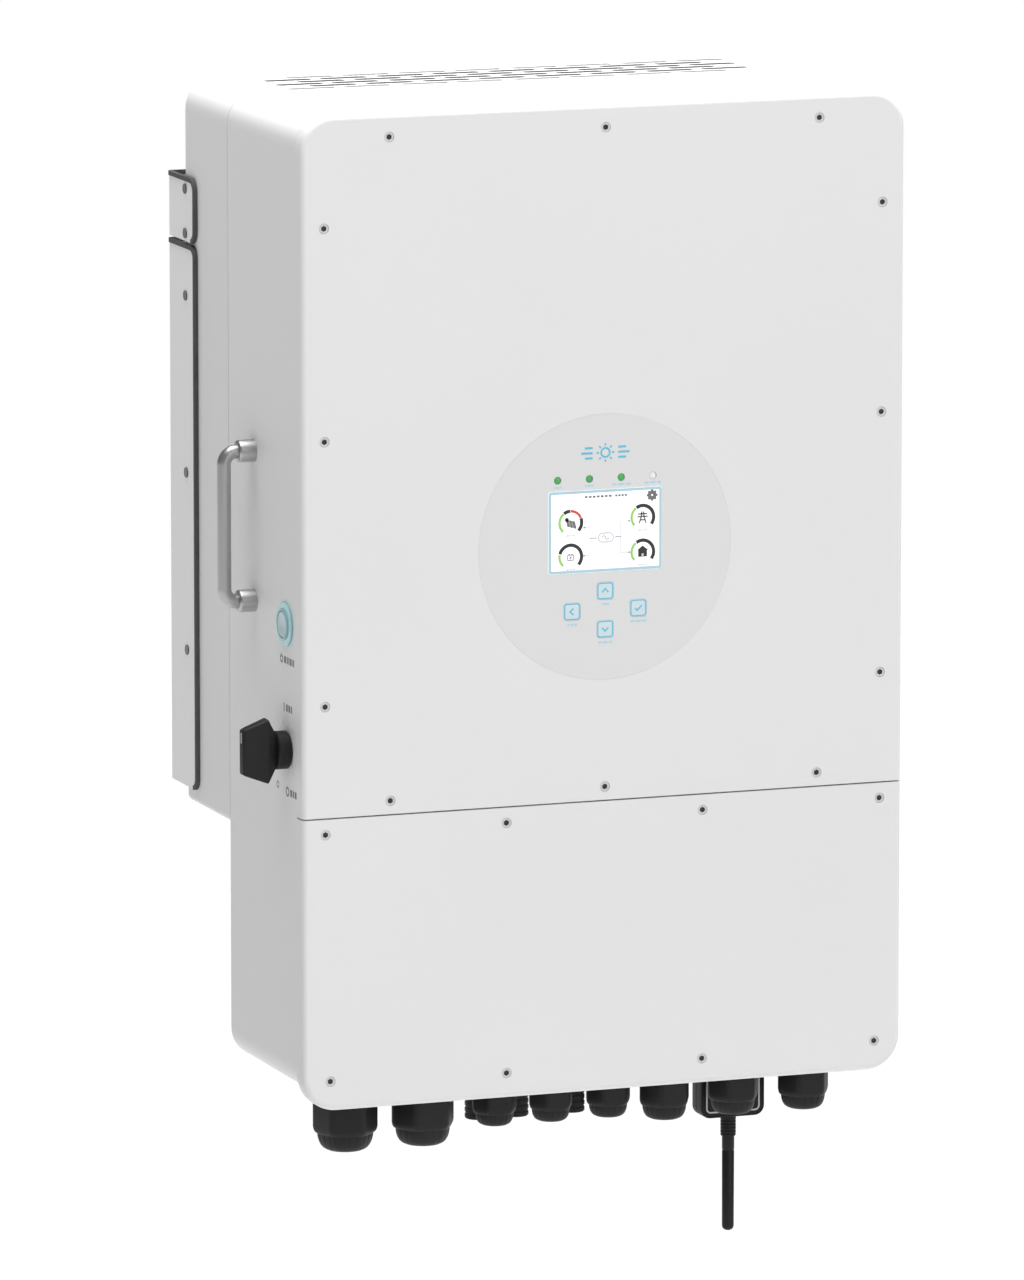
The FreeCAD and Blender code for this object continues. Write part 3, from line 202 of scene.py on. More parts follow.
def brushed(name, colour, stretch, roughness=(0.28, 0.42)):
    """Metal with fine lines along one direction."""
    return finish(name, colour, roughness=roughness, grain=900, relief=0.25, depth=0.03 * MM,
                  mottle=14, variation=0.06, stretch=stretch, Metallic=1.0)


def lit(name, colour, strength, variation=0.02):
    """A translucent part with a light behind it."""
    return finish(name, colour, roughness=(0.12, 0.2), grain=900, relief=0.05, mottle=200,
                  variation=variation, Emission_Strength=strength, Emission_Color=(*colour, 1))


def ink(name, colour, roughness=(0.3, 0.4), variation=0.06):
    """A printed layer, almost without relief."""
    return finish(name, colour, roughness, 2600, 0.05, 0.02 * MM, 300, variation)


def circuit_board(name, colour):
    """Solder resist with the grid of tracks showing through it."""
    material, nodes, links, shader = node_tree(name)
    coordinates = nodes.new("ShaderNodeTexCoord")
    tracks = nodes.new("ShaderNodeTexBrick")
    preset(tracks, Scale=90, Mortar_Size=0.03, Color1=(*colour, 1),
           Color2=(*shaded(colour, 0.8), 1), Mortar=(*shaded(colour, 1.9), 1))
    turn = nodes.new("ShaderNodeMapping")
    preset(turn, Rotation=(math.pi / 2, 0, 0))
    links.new(coordinates.outputs["Object"], turn.inputs["Vector"])
    links.new(turn.outputs["Vector"], tracks.inputs["Vector"])
    links.new(tracks.outputs["Color"], shader.inputs["Base Color"])
    fine = noise(nodes, links, 500)
    links.new(spread(nodes, links, fine, 0.25, 0.4), shader.inputs["Roughness"])
    return material


def paint_slot_shade(material, low, high, colour):
    """Painted shade in the slots: a darker colour for the faces of a coated sheet inside a box of the
    frame, standing in for the shade on the slot walls.
    """
    nodes, links = material.node_tree.nodes, material.node_tree.links
    shader = nodes["Principled BSDF"]
    coat = shader.inputs["Base Color"].links[0].from_socket
    coordinates = nodes.new("ShaderNodeTexCoord")
    axes = nodes.new("ShaderNodeSeparateXYZ")
    links.new(coordinates.outputs["Object"], axes.inputs["Vector"])
    inside = None
    for axis, start, end in zip("XYZ", low, high):
        near = nodes.new("ShaderNodeMath")
        near.operation = "COMPARE"
        near.inputs[1].default_value = (start + end) / 2
        near.inputs[2].default_value = (end - start) / 2
        links.new(axes.outputs[axis], near.inputs[0])
        if inside is None:
            inside = near.outputs["Value"]
        else:
            both = nodes.new("ShaderNodeMath")
            both.operation = "MULTIPLY"
            links.new(inside, both.inputs[0])
            links.new(near.outputs["Value"], both.inputs[1])
            inside = both.outputs["Value"]
    # painted shade for the slot walls, with faint streaks
    slot_shade = ramp(nodes, links, noise(nodes, links, 900, 3.0, (1, 1, 8)), shaded(colour, 0.9), colour)
    either = nodes.new("ShaderNodeMix")
    either.data_type = "RGBA"
    links.new(inside, either.inputs["Factor"])
    links.new(coat, either.inputs["A"])
    links.new(slot_shade, either.inputs["B"])
    links.new(either.outputs["Result"], shader.inputs["Base Color"])


WHITE = (0.80, 0.80, 0.80)
BLACK = (0.008, 0.008, 0.0083)
CYAN = (0.13, 0.52, 0.72)
# Painted shade: the dark grey given to the walls of the vent slots in the shroud's top.
SLOT_SHADE = (0.30, 0.30, 0.30)

MATERIALS = {
    "coated_white": powder_coat("coat_white", WHITE),
    "coated_shroud": powder_coat("coat_shroud", shaded(WHITE, 0.985)),
    # Painted light: a lighter copy of the white coat for the rear plates, which lifts the shade they
    # sit in.
    "sheet_metal": powder_coat("coat_sheet_painted_light", shaded(WHITE, 1.09)),
    "zinc_sheet": brushed("zinc", (0.55, 0.56, 0.57), (1, 1, 6), (0.35, 0.5)),
    "seal_rubber": moulded("rubber", (0.02, 0.02, 0.02), 1200, (0.6, 0.8)),
    "dark_screw": brushed("screw_dark", (0.10, 0.10, 0.105), (1, 1, 1)),
    "bright_screw": brushed("screw_bright", (0.16, 0.16, 0.16), (1, 1, 1)),
    "cast_aluminium": brushed("aluminium", (0.62, 0.62, 0.63), (1, 1, 0.1), (0.35, 0.5)),
    "handle_metal": brushed("handle_steel", (0.46, 0.46, 0.465), (1, 1, 0.06), (0.3, 0.42)),
    "black_plastic": moulded("plastic_black", BLACK),
    "knob_plastic": moulded("plastic_knob", BLACK),
    "gland_plastic": moulded("nylon_gland", (0.009, 0.009, 0.0093), 1500),
    "overlay_film": finish("film", shaded(WHITE, 0.935), (0.38, 0.46), 2600, 0.12, 0.02 * MM,
                           6, 0.006),
    "display_glass": lit("screen_white", (0.93, 0.95, 0.96), 0.32, 0.006),
    "display_body": moulded("module_black", (0.03, 0.03, 0.035)),
    "circuit_board": circuit_board("solder_resist", (0.02, 0.16, 0.06)),
    "key_film": finish("key_face", (0.66, 0.77, 0.81), (0.35, 0.45), 2600, 0.12, 0.02 * MM,
                       40, 0.02),
    "lamp_lens": lit("lamp_green", (0.06, 0.33, 0.09), 0.25, 0.1),
    "ring_light": lit("ring_cyan", (0.40, 0.64, 0.68), 0.06, 0.05),
    "bezel_plastic": finish("bezel_grey", (0.52, 0.65, 0.68), (0.25, 0.35), 1800, 0.1, 0.03 * MM,
                            60, 0.02),
    "capacitor_can": finish("can_sleeve", (0.03, 0.04, 0.09), (0.2, 0.35), 400, 0.1, 0.05 * MM,
                            40, 0.1),
    "inductor_core": finish("winding", (0.28, 0.12, 0.04), (0.25, 0.4), 300, 0.6, 0.4 * MM, 60, 0.2,
                            (1, 1, 6)),
    "relay_case": moulded("case_dark", (0.05, 0.055, 0.06)),
    "terminal_plastic": moulded("terminal_green", (0.06, 0.16, 0.09)),
    "wire_steel": brushed("wire", (0.45, 0.45, 0.45), (1, 1, 1)),
}

INK = {
    "cyan": ink("ink_cyan", CYAN, (0.35, 0.45)),
    "pale": ink("ink_pale_blue", (0.46, 0.68, 0.78), (0.35, 0.45), 0.03),
    "grey": ink("ink_grey", (0.17, 0.17, 0.175), (0.4, 0.5), 0.08),
    # Dark print on the screen; the same material is the painted shade in the screw sockets.
    "dark": ink("ink_dark_and_socket_shade", (0.02, 0.021, 0.022), variation=0.1),
    "silver": ink("ink_silver", (0.62, 0.64, 0.66), variation=0.04),
    "green": ink("ink_green", (0.36, 0.68, 0.16)),
    "red": ink("ink_red", (0.75, 0.07, 0.06)),
}

# Looks that differ from the look of the slot they belong to.
BEZEL_CYAN = finish("bezel_cyan", (0.26, 0.47, 0.51), (0.25, 0.35), 1800, 0.1, 0.03 * MM, 60, 0.02)
SCREW_WHITE = finish("screw_white", (0.66, 0.66, 0.66), (0.3, 0.42), 1800, 0.15, 0.03 * MM, 90, 0.03)
# Painted shade: a dark strip for the shade in the gaps along the rear plates' edges.
GAP_SHADE = moulded("gap_shade_strip", (0.085, 0.085, 0.087), 1200, (0.6, 0.8))
UNLIT_LENS = finish("lamp_unlit", (0.86, 0.90, 0.91), (0.12, 0.2), 900, 0.05, 0.02 * MM, 200, 0.02)


def paint_frame():
    """Give every CAD node the material of its slot, and paint shade on the walls of the cuts in the
    shroud's top.
    """
    low, high = lowest("rear_shroud"), highest("rear_shroud")
    margin, skin, sheet = 20 * MM, 0.05 * MM, 2.5 * MM
    paint_slot_shade(MATERIALS["coated_shroud"], (low.x + margin, low.y + margin, high.z - sheet),
               (high.x - margin, high.y - margin, high.z - skin), SLOT_SHADE)
    for part in frame["record"]["subparts"]:
        slots = frame["nodes"][part["node"]].data.materials
        slots.clear()
        slots.append(MATERIALS[part["material_slot"]])


# ---- mesh building

def into_scene(name, data):
    """A new object for a mesh, a lamp or a camera, in the scene."""
    thing = bpy.data.objects.new(name, data)
    bpy.context.scene.collection.objects.link(thing)
    return thing


def add_piece(name, verts, faces, slot, material=None, body=INVERTER, stands_for=(), sharp=35):
    """A mesh piece, smooth up to an angle, that rides on a body and has its slot's material."""
    mesh = bpy.data.meshes.new(name)
    mesh.from_pydata([tuple(vert) for vert in verts], [], faces)
    shape = bmesh.new()
    shape.from_mesh(mesh)
    bmesh.ops.remove_doubles(shape, verts=shape.verts, dist=1e-7)
    bmesh.ops.recalc_face_normals(shape, faces=shape.faces)
    shape.to_mesh(mesh)
    shape.free()
    mesh.shade_smooth()
    mesh.set_sharp_from_angle(angle=math.radians(sharp))
    mesh.materials.append(MATERIALS[slot] if material is None else material)
    piece = into_scene(name, mesh)
    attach(piece, body)
    if stands_for:
        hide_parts(*stands_for)


class Solid:
    """Vertices and faces that are collected into one piece."""

    def __init__(self):
        self.verts = []
        self.faces = []

    def rings(self, rings, caps=True):
        """Join rings of equally many points, one after another, and close both ends."""
        first = len(self.verts)
        count = len(rings[0])
        for ring in rings:
            self.verts.extend(ring)
        for level in range(len(rings) - 1):
            low, high = first + level * count, first + (level + 1) * count
            for step in range(count):
                after = (step + 1) % count
                self.faces.append((low + step, low + after, high + after, high + step))
        if caps:
            self.faces.append(tuple(range(first + count - 1, first - 1, -1)))
            last = first + (len(rings) - 1) * count
            self.faces.append(tuple(range(last, last + count)))

    def lathe(self, profile, place, segments=64):
        """Turn a closed profile of (radius, height) about an axis; place puts (x, y, height)."""
        rings = []
        for radius, height in profile:
            rings.append([place(radius * math.cos(turn), radius * math.sin(turn), height)
                          for turn in turns(segments)])
        hollow = profile[0][0] > 0 and profile[0] == profile[-1]
        self.rings(rings, caps=not hollow)

    def piece(self, name, slot, **options):
        add_piece(name, self.verts, self.faces, slot, **options)


def turns(segments):
    """Evenly spaced angles of a full circle."""
    return [2 * math.pi * step / segments for step in range(segments)]


def arc(x, y, radius, start, end, steps=8):
    """Points of a round stretch, angles in degrees."""
    points = []
    for step in range(steps + 1):
        turn = math.radians(start + (end - start) * step / steps)
        points.append((x + radius * math.cos(turn), y + radius * math.sin(turn)))
    return points


def rounded_box(left, right, low, high, radius, low_radius=None, steps=8):
    """The outline of a rectangle with round corners."""
    small = radius if low_radius is None else low_radius
    return (arc(right - small, low + small, small, -90, 0, steps)
            + arc(right - radius, high - radius, radius, 0, 90, steps)
            + arc(left + radius, high - radius, radius, 90, 180, steps)
            + arc(left + small, low + small, small, 180, 270, steps))


def upright(centre):
    """Places a shape whose axis is vertical."""
    return lambda x, y, height: Vector((centre.x + x, centre.y + y, height))


def sideways(centre, face, direction):
    """Places a shape whose axis runs out of a side wall; height is measured from the wall."""
    return lambda x, y, height: Vector((face + direction * height, centre.y + x, centre.z + y))


def forward(x0, z0):
    """Places a shape whose axis runs out of the front; height is measured from the front face."""
    return lambda x, y, height: Vector((x0 + x, FRONT - height, z0 + y))


def on_left_side(centre):
    """Places print on the left side wall: u runs to the front, v up."""
    return lambda u, v, height: Vector((LEFT_FACE - height, centre.y - u, centre.z + v))


# ---- printed marks

class Print:
    """A thin layer of ink, drawn in two directions on a face, in millimetres."""

    THICKNESS = 0.04 * MM

    def __init__(self, place, lift=0.0):
        self.place = place
        self.lift = lift
        self.solid = Solid()

    def patch(self, outline):
        low = [self.place(u * MM, v * MM, self.lift) for u, v in outline]
        high = [self.place(u * MM, v * MM, self.lift + self.THICKNESS) for u, v in outline]
        self.solid.rings([low, high])

    def disc(self, u, v, radius):
        self.patch(arc(u, v, radius, 0, 360 * 31 / 32, 31))

    def box(self, left, right, low, high, radius=0.0):
        if radius:
            self.patch(rounded_box(left, right, low, high, radius, steps=4))
        else:
            self.patch([(left, low), (right, low), (right, high), (left, high)])

    def line(self, points, width):
        """A stroke along open points, with mitred corners."""
        sides = ([], [])
        for number, (u, v) in enumerate(points):
            before = Vector(points[max(number - 1, 0)])
            after = Vector(points[min(number + 1, len(points) - 1)])
            here = Vector((u, v))
            ahead = (after - here) if after != here else (here - before)
            behind = (here - before) if before != here else ahead
            along = (ahead.normalized() + behind.normalized()).normalized()
            across = Vector((-along.y, along.x))
            reach = width / 2 / max(0.4, along.dot(ahead.normalized()))
            for side, sign in zip(sides, (1, -1)):
                side.append(tuple(here + across * reach * sign))
        left, right = sides
        for number in range(len(points) - 1):
            self.patch([left[number], left[number + 1], right[number + 1], right[number]])

    def frame(self, outer, inner):
        """The band between two outlines with equally many points."""
        layers = []
        for outline, lift in ((outer, 0), (outer, 1), (inner, 1), (inner, 0), (outer, 0)):
            height = self.lift + lift * self.THICKNESS
            layers.append([self.place(u * MM, v * MM, height) for u, v in outline])
        self.solid.rings(layers, caps=False)

    def ring(self, u, v, radius, width):
        self.frame(arc(u, v, radius + width / 2, 0, 360 * 47 / 48, 47),
                   arc(u, v, radius - width / 2, 0, 360 * 47 / 48, 47))

    def rays(self, u, v, inner, outer, width):
        """Eight short strokes around a point."""
        for turn in turns(8):
            reach = (math.cos(turn), math.sin(turn))
            self.line([(u + inner * reach[0], v + inner * reach[1]),
                       (u + outer * reach[0], v + outer * reach[1])], width)

    def dashes(self, left, right, v, height, pattern):
        """A row of short bars, as a stand-in for a caption."""
        step = (right - left) / sum(pattern)
        u = left
        for number, length in enumerate(pattern):
            if number % 2 == 0:
                self.box(u, u + length * step, v - height / 2, v + height / 2)
            u += length * step

    def piece(self, name, colour, slot, **options):
        self.solid.piece(name, slot, material=INK[colour], **options)


# ---- control panel

def solar_sign(dark, grey, u, v):
    """A tilted panel of six cells, with a sun over its corner."""
    for row in range(2):
        for column in range(3):
            shift = -2.9 + column * 2.2 + row * 0.6
            top = v + 2.2 - row * 2.5 - column * 0.6
            grey.patch([(u + shift, top - 2.2), (u + shift + 2.0, top - 2.6),
                        (u + shift + 1.6, top - 0.2), (u + shift - 0.4, top + 0.2)])
    dark.box(u - 3.9, u - 1.3, v + 0.9, v + 3.4, 0.9)


def battery_sign(grey, u, v):
    """A case with two poles and a bolt in it."""
    grey.frame(rounded_box(u - 2.3, u + 2.3, v - 2.6, v + 1.4, 0.6, steps=4),
               rounded_box(u - 1.8, u + 1.8, v - 2.1, v + 0.9, 0.3, steps=4))
    grey.box(u - 1.4, u - 0.5, v + 1.4, v + 2.0)
    grey.box(u + 0.5, u + 1.4, v + 1.4, v + 2.0)
    grey.line([(u + 0.5, v + 0.4), (u - 0.5, v - 0.7), (u + 0.5, v - 0.7), (u - 0.4, v - 1.7)], 0.45)


def grid_sign(grey, u, v):
    """A pylon: two legs and three arms."""
    for side in (-1, 1):
        grey.line([(u + 0.6 * side, v + 3.8), (u + 1.0 * side, v + 0.2),
                   (u + 2.4 * side, v - 4.0)], 0.9)
    for level, reach in ((2.2, 3.2), (0.4, 3.6), (-1.8, 1.8)):
        grey.line([(u - reach, v + level), (u + reach, v + level)], 0.9)


def home_sign(dark, on_front, u, v):
    """A house with a pale door."""
    dark.patch([(u - 3.1, v - 3.2), (u + 3.1, v - 3.2), (u + 3.1, v + 1.2), (u + 3.9, v + 1.2),
                (u, v + 4.2), (u - 3.9, v + 1.2), (u - 3.1, v + 1.2)])
    door = Print(on_front, Print.THICKNESS)
    door.box(u - 0.7, u + 0.7, v - 3.0, v - 1.0)
    door.piece("screen_door", "silver", "overlay_film")


def screen_field(on_front, half_width, half_height, depth):
    """The lit field and the pale frame printed round it."""
    field = Solid()
    outline = rounded_box(-half_width, half_width, -half_height, half_height, 1.2, steps=4)
    layers = []
    for inset, level in ((0.0, -depth), (0.0, -0.3), (0.3, 0.0)):
        squeeze = 1 - inset / half_width
        layers.append([on_front(u * squeeze * MM, v * squeeze * MM, level * MM) for u, v in outline])
    field.rings(layers)
    field.piece("display_screen", "display_glass", stands_for=["display_window"])

    border = Print(on_front)
    outer, inner = (rounded_box(inset - half_width, half_width - inset, inset - half_height,
                                half_height - inset, radius)
                    for inset, radius in ((0.3, 1.5), (2.1, 0.7)))
    border.frame(outer, inner)
    border.piece("display_border", "pale", "overlay_film")


def screen():
    """The display: a lit field in a pale frame, with four gauges round an inverter sign."""
    low, high = lowest("display_window"), highest("display_window")
    half_width = (high.x - low.x) / 2 / MM
    half_height = (high.z - low.z) / 2 / MM
    centre = middle("display_window")
    on_front = forward(centre.x, centre.z)
    screen_field(on_front, half_width, half_height, (high.y - low.y) / MM)

    def at(across, down):
        """A place on the screen, as fractions of its width and height from the upper left."""
        return (2 * across - 1) * half_width, (1 - 2 * down) * half_height

    gauges = {
        # name: (place, [(ink, start angle, end angle)])
        "solar": (at(0.195, 0.385), (("green", 228, 128), ("dark", 126, 92), ("red", 90, 22),
                                    ("dark", 20, -44))),
        "battery": (at(0.195, 0.795), (("green", 228, 168), ("dark", 164, -44))),
        "grid": (at(0.828, 0.365), (("green", 222, 128), ("dark", 124, -38))),
        "home": (at(0.828, 0.785), (("green", 222, 128), ("dark", 124, -38))),
    }
    layers = {name: Print(on_front) for name in ("green", "dark", "red", "grey", "silver")}
    dark, grey, silver = layers["dark"], layers["grey"], layers["silver"]
    gauge_radius = 7.8
    for (u, v), sweeps in gauges.values():
        for name, start, end in sweeps:
            layers[name].line(arc(u, v, gauge_radius, start, end, 24), 2.3 if name == "dark" else 1.7)
        silver.dashes(u - 3, u + 3, v - 8.6, 0.8, (3, 1, 2, 1, 2))

    solar_sign(dark, grey, *gauges["solar"][0])
    battery_sign(grey, *gauges["battery"][0])
    grid_sign(grey, *gauges["grid"][0])
    home_sign(dark, on_front, *gauges["home"][0])

    u, v = at(0.911, 0.105)
    grey.ring(u, v, 1.9, 2.4)
    grey.rays(u, v, 2.9, 3.8, 1.4)
    left, top = at(0.32, 0.085)
    grey.dashes(left, -left * 0.3, top, 1.3, (2, 1, 2, 1, 2, 1, 2, 1, 2, 1, 2, 1, 2))
    grey.dashes(-left * 0.48, -left * 1.05, top, 1.3, (2, 1, 2, 1, 2, 1, 2))

    u, v = at(0.505, 0.585)
    silver.frame(rounded_box(u - 5.6, u + 5.6, v - 3.4, v + 3.4, 3.3, steps=6),
                 rounded_box(u - 4.8, u + 4.8, v - 2.6, v + 2.6, 2.5, steps=6))
    silver.line(arc(u - 1.4, v, 1.2, 180, 0, 8) + arc(u + 1.0, v, 1.2, 180, 360, 8), 0.9)
    for side, column, rows in ((-1, 0.315, (0.45, 0.79)), (1, 0.71, (0.40, 0.78))):
        edge = u + 6.2 * side
        for row in rows:
            start = at(column, row)
            bend = at(0.5 + 0.135 * side, 0.5)[0]
            silver.line([start, (bend, start[1]), (bend, v), (edge, v)], 0.4)
            silver.disc(start[0], start[1], 0.8)
    for name, layer in layers.items():
        layer.piece("screen_" + name, name, "overlay_film")


def panel_marks():
    """What is printed on the film: a sun sign, captions and the lamps' labels."""
    centre = middle("control_overlay")
    on_film = forward(centre.x, centre.z)
    top = (highest("control_overlay").z - centre.z) / MM
    sign = Print(on_film)
    level = top - 25.9
    sign.ring(0, level, 3.0, 1.3)
    sign.rays(0, level, 4.5, 6.3, 1.2)
    for side in (-1, 1):
        for number, length in enumerate((5.5, 8.0, 5.5)):
            v = level + 3.4 * (1 - number)
            start = 9.0 * side
            sign.line([(start, v), (start + length * side, v)], 1.5)
    sign.piece("panel_sun_sign", "cyan", "overlay_film")

    captions = Print(on_film)
    lamp_level = (middle("led_lenses").z - centre.z) / MM
    for (low, high), width in zip(solids("led_lenses"), (5.5, 6, 13.5, 11.5)):
        u = ((low.x + high.x) / 2 - centre.x) / MM
        captions.dashes(u - width / 2, u + width / 2, lamp_level - 4.6, 1.4, (3, 1, 4, 1, 3))
    for key, width in (("key_up", 5), ("key_left", 7), ("key_right", 11), ("key_down", 10)):
        place = middle(key) - centre
        u, v = place.x / MM, place.z / MM
        captions.dashes(u - width / 2, u + width / 2, v - 8.8, 1.4, (3, 1, 4, 1, 3))
    captions.piece("panel_captions", "pale", "overlay_film")


def keys():
    """Domed film keys, each with an outline and a sign that move with it."""
    signs = {
        "up": [(-2.2, -0.9), (0, 1.5), (2.2, -0.9)],
        "left": [(1.0, 2.2), (-1.4, 0), (1.0, -2.2)],
        "down": [(-2.2, 1.0), (0, -1.4), (2.2, 1.0)],
        "right": [(-2.3, 0.0), (-0.7, -1.6), (2.4, 1.7)],
    }
    for name, sign in signs.items():
        node, body = "key_" + name, name + "_key"
        low, high, centre = lowest(node), highest(node), middle(node)
        half = 5.95
        on_key = forward(centre.x, centre.z)
        cap = Solid()
        back = (high.y - low.y) / MM
        layers = []
        for inset, level in ((0, -back + 1.2), (0, -0.1), (0.1, -0.02), (0.3, 0.0)):
            reach = half - inset
            outline = rounded_box(-reach, reach, -reach, reach, 2.4 - inset, steps=5)
            layers.append([on_key(u * MM, v * MM, level * MM) for u, v in outline])
        cap.rings(layers)
        cap.lathe([(1.5 * MM, (1.2 - back) * MM), (1.5 * MM, -back * MM)], on_key, 24)
        cap.piece("keycap_" + name, "key_film", body=body, stands_for=[node])
        marks = Print(on_key)
        edge, width = half - 0.35, 0.85
        marks.frame(rounded_box(-edge, edge, -edge, edge, 2.1, steps=5),
                    rounded_box(width - edge, edge - width, width - edge, edge - width, 1.3, steps=5))
        marks.line(sign, 1.0)
        marks.piece("key_sign_" + name, "cyan", "key_film", body=body)


def lamps():
    """Domed lenses: three lit and one unlit."""
    boxes = solids("led_lenses")
    for number, (low, high) in enumerate(boxes):
        centre = (low + high) / 2
        place = forward(centre.x, centre.z)
        radius = (high.x - low.x) / 2
        back = low.y - high.y
        profile = [(radius, back), (radius, -0.8 * MM)]
        for u, v in arc(0, 0, 1, 0, 80, 6):
            profile.append((radius * u, -0.8 * MM + 0.8 * MM * v))
        lens = Solid()
        lens.lathe(profile, place, 32)
        unlit = number == len(boxes) - 1
        material = UNLIT_LENS if unlit else None
        options = {"stands_for": ["led_lenses"]} if number == 0 else {}
        lens.piece("lamp_%d" % (number + 1), "lamp_lens", material=material, **options)


# ---- side controls

def start_button():
    """A push button: a dark cyan collar, a pale ring round it, a dished cap and a caption below."""
    centre = middle("start_button_bezel")
    place = sideways(centre, LEFT_FACE, -1)
    outer = (highest("start_button_bezel").y - lowest("start_button_bezel").y) / 2
    inner_ring = 10.5 * MM
    inside = highest("start_button_bezel").x - LEFT_FACE
    cap_radius = (highest("start_button_cap").y - lowest("start_button_cap").y) / 2
    bore = cap_radius + 0.1 * MM
    bezel = Solid()
    profile = [(bore, -inside), (inner_ring, -inside), (inner_ring, 0), (outer, 0), (outer, 0.6 * MM),
               (outer - 0.4 * MM, 1.0 * MM), (inner_ring, 1.0 * MM), (inner_ring, 2.5 * MM),
               (inner_ring - 0.5 * MM, 3.0 * MM), (bore + 0.4 * MM, 3.0 * MM), (bore, 2.7 * MM),
               (bore, -inside)]
    bezel.lathe(profile, place, 96)
    bezel.piece("start_bezel", "bezel_plastic", material=BEZEL_CYAN,
                stands_for=["start_button_bezel"])
    glow = Solid()
    ring_out, ring_in = outer - 0.4 * MM, inner_ring + 0.1 * MM
    glow.lathe([(ring_in, 1.0 * MM), (ring_out, 1.0 * MM), (ring_out, 1.4 * MM),
                (ring_out - 0.4 * MM, 1.8 * MM), (ring_in, 1.8 * MM), (ring_in, 1.0 * MM)], place, 96)
    glow.piece("start_ring", "ring_light", stands_for=["start_button_ring_light"])
    cap = Solid()
    cap_back = LEFT_FACE - highest("start_button_cap").x
    profile = [(3 * MM, cap_back), (3 * MM, -1.0 * MM), (cap_radius, -1.0 * MM),
               (cap_radius, 2.2 * MM), (cap_radius - 0.5 * MM, 2.75 * MM),
               (cap_radius - 2 * MM, 2.8 * MM), (cap_radius - 3.5 * MM, 2.35 * MM), (1 * MM, 2.1 * MM)]
    cap.lathe(profile, place, 72)
    cap.piece("start_cap", "bezel_plastic", body="start_button", stands_for=["start_button_cap"])
    caption = Print(on_left_side(centre))
    caption.line(arc(-8.5, -24.0, 2.4, 125, 415, 20), 1.3)
    caption.line([(-8.5, -23.4), (-8.5, -20.4)], 1.3)
    caption.dashes(-3.5, 16.5, -24.0, 4.6, (3, 1, 2, 1, 3, 1, 2))
    caption.piece("start_caption", "grey", "coated_white")


def isolator():
    """The knob: a round skirt that flows into a long grip, with a white pointer line."""
    base = middle("dc_switch_shaft")
    place = sideways(base, LEFT_FACE, -1)
    reach = LEFT_FACE - lowest("dc_switch_knob").x
    half_long = (highest("dc_switch_knob").z - lowest("dc_switch_knob").z) / 2
    skirt = (highest("dc_switch_knob").y - lowest("dc_switch_knob").y) / 2

    knob = Solid()
    knob.lathe([(skirt - 0.6 * MM, 0.5 * MM), (skirt, 1.1 * MM), (skirt, 8.6 * MM),
                (skirt - 0.9 * MM, 9.5 * MM)], place, 72)

    def section(level, half_thick, half_tall, corner):
        outline = rounded_box(-half_thick, half_thick, -half_tall, half_tall, corner, steps=6)
        return [place(u, v, level) for u, v in outline]

    grip = [
        (9.0 * MM, 5.2 * MM, half_long * 0.56, 3.0 * MM),
        (9.6 * MM, 5.2 * MM, half_long * 0.58, 3.0 * MM),
        (13.9 * MM, 5.3 * MM, half_long * 0.965, 2.2 * MM),
        (14.6 * MM, 5.3 * MM, half_long, 2.0 * MM),
        (15.4 * MM, 5.2 * MM, half_long * 0.99, 1.8 * MM),
        (reach - 2.6 * MM, 4.2 * MM, half_long * 0.745, 1.6 * MM),
        (reach - 1.0 * MM, 4.0 * MM, half_long * 0.71, 1.5 * MM),
        (reach - 0.2 * MM, 3.6 * MM, half_long * 0.685, 1.3 * MM),
        (reach, 3.0 * MM, half_long * 0.66, 1.1 * MM),
    ]
    knob.rings([section(*row) for row in grip])
    knob.piece("isolator_knob", "knob_plastic", body="dc_switch",
               stands_for=["dc_switch_knob"], sharp=28)

    pointer = Print(lambda u, v, height: place(u, v, reach + height))
    pointer.box(-0.7, 0.7, half_long / MM * 0.28, half_long / MM * 0.6)
    pointer.piece("isolator_pointer", "silver", "knob_plastic", body="dc_switch")

    dial = Print(on_left_side(base))
    dial.box(-6.5, -4.9, 24.8, 30.6)
    dial.dashes(-2.0, 10.0, 27.7, 4.6, (3, 1, 3, 1, 2))
    dial.ring(0.5, -28.2, 2.7, 1.4)
    dial.dashes(6.0, 19.0, -28.2, 4.6, (3, 1, 2, 1, 3))
    dial.line(arc(-19.0, -26.5, 2.0, 0, 350, 16), 1.0)
    dial.piece("isolator_marks", "grey", "coated_white")
    sweep = Print(on_left_side(base))
    sweep.line(arc(0, 0, 18.5, 52, -52, 40), 0.5)
    sweep.line(arc(0, 0, 18.5, 112, 168, 24), 0.5)
    for turn in (52, -52, 168, 112):
        inner, outer = (arc(0, 0, radius, turn, turn, 1)[0] for radius in (17.0, 20.0))
        sweep.line([inner, outer], 0.5)
    sweep.piece("isolator_sweep", "silver", "coated_white")


# ---- handles

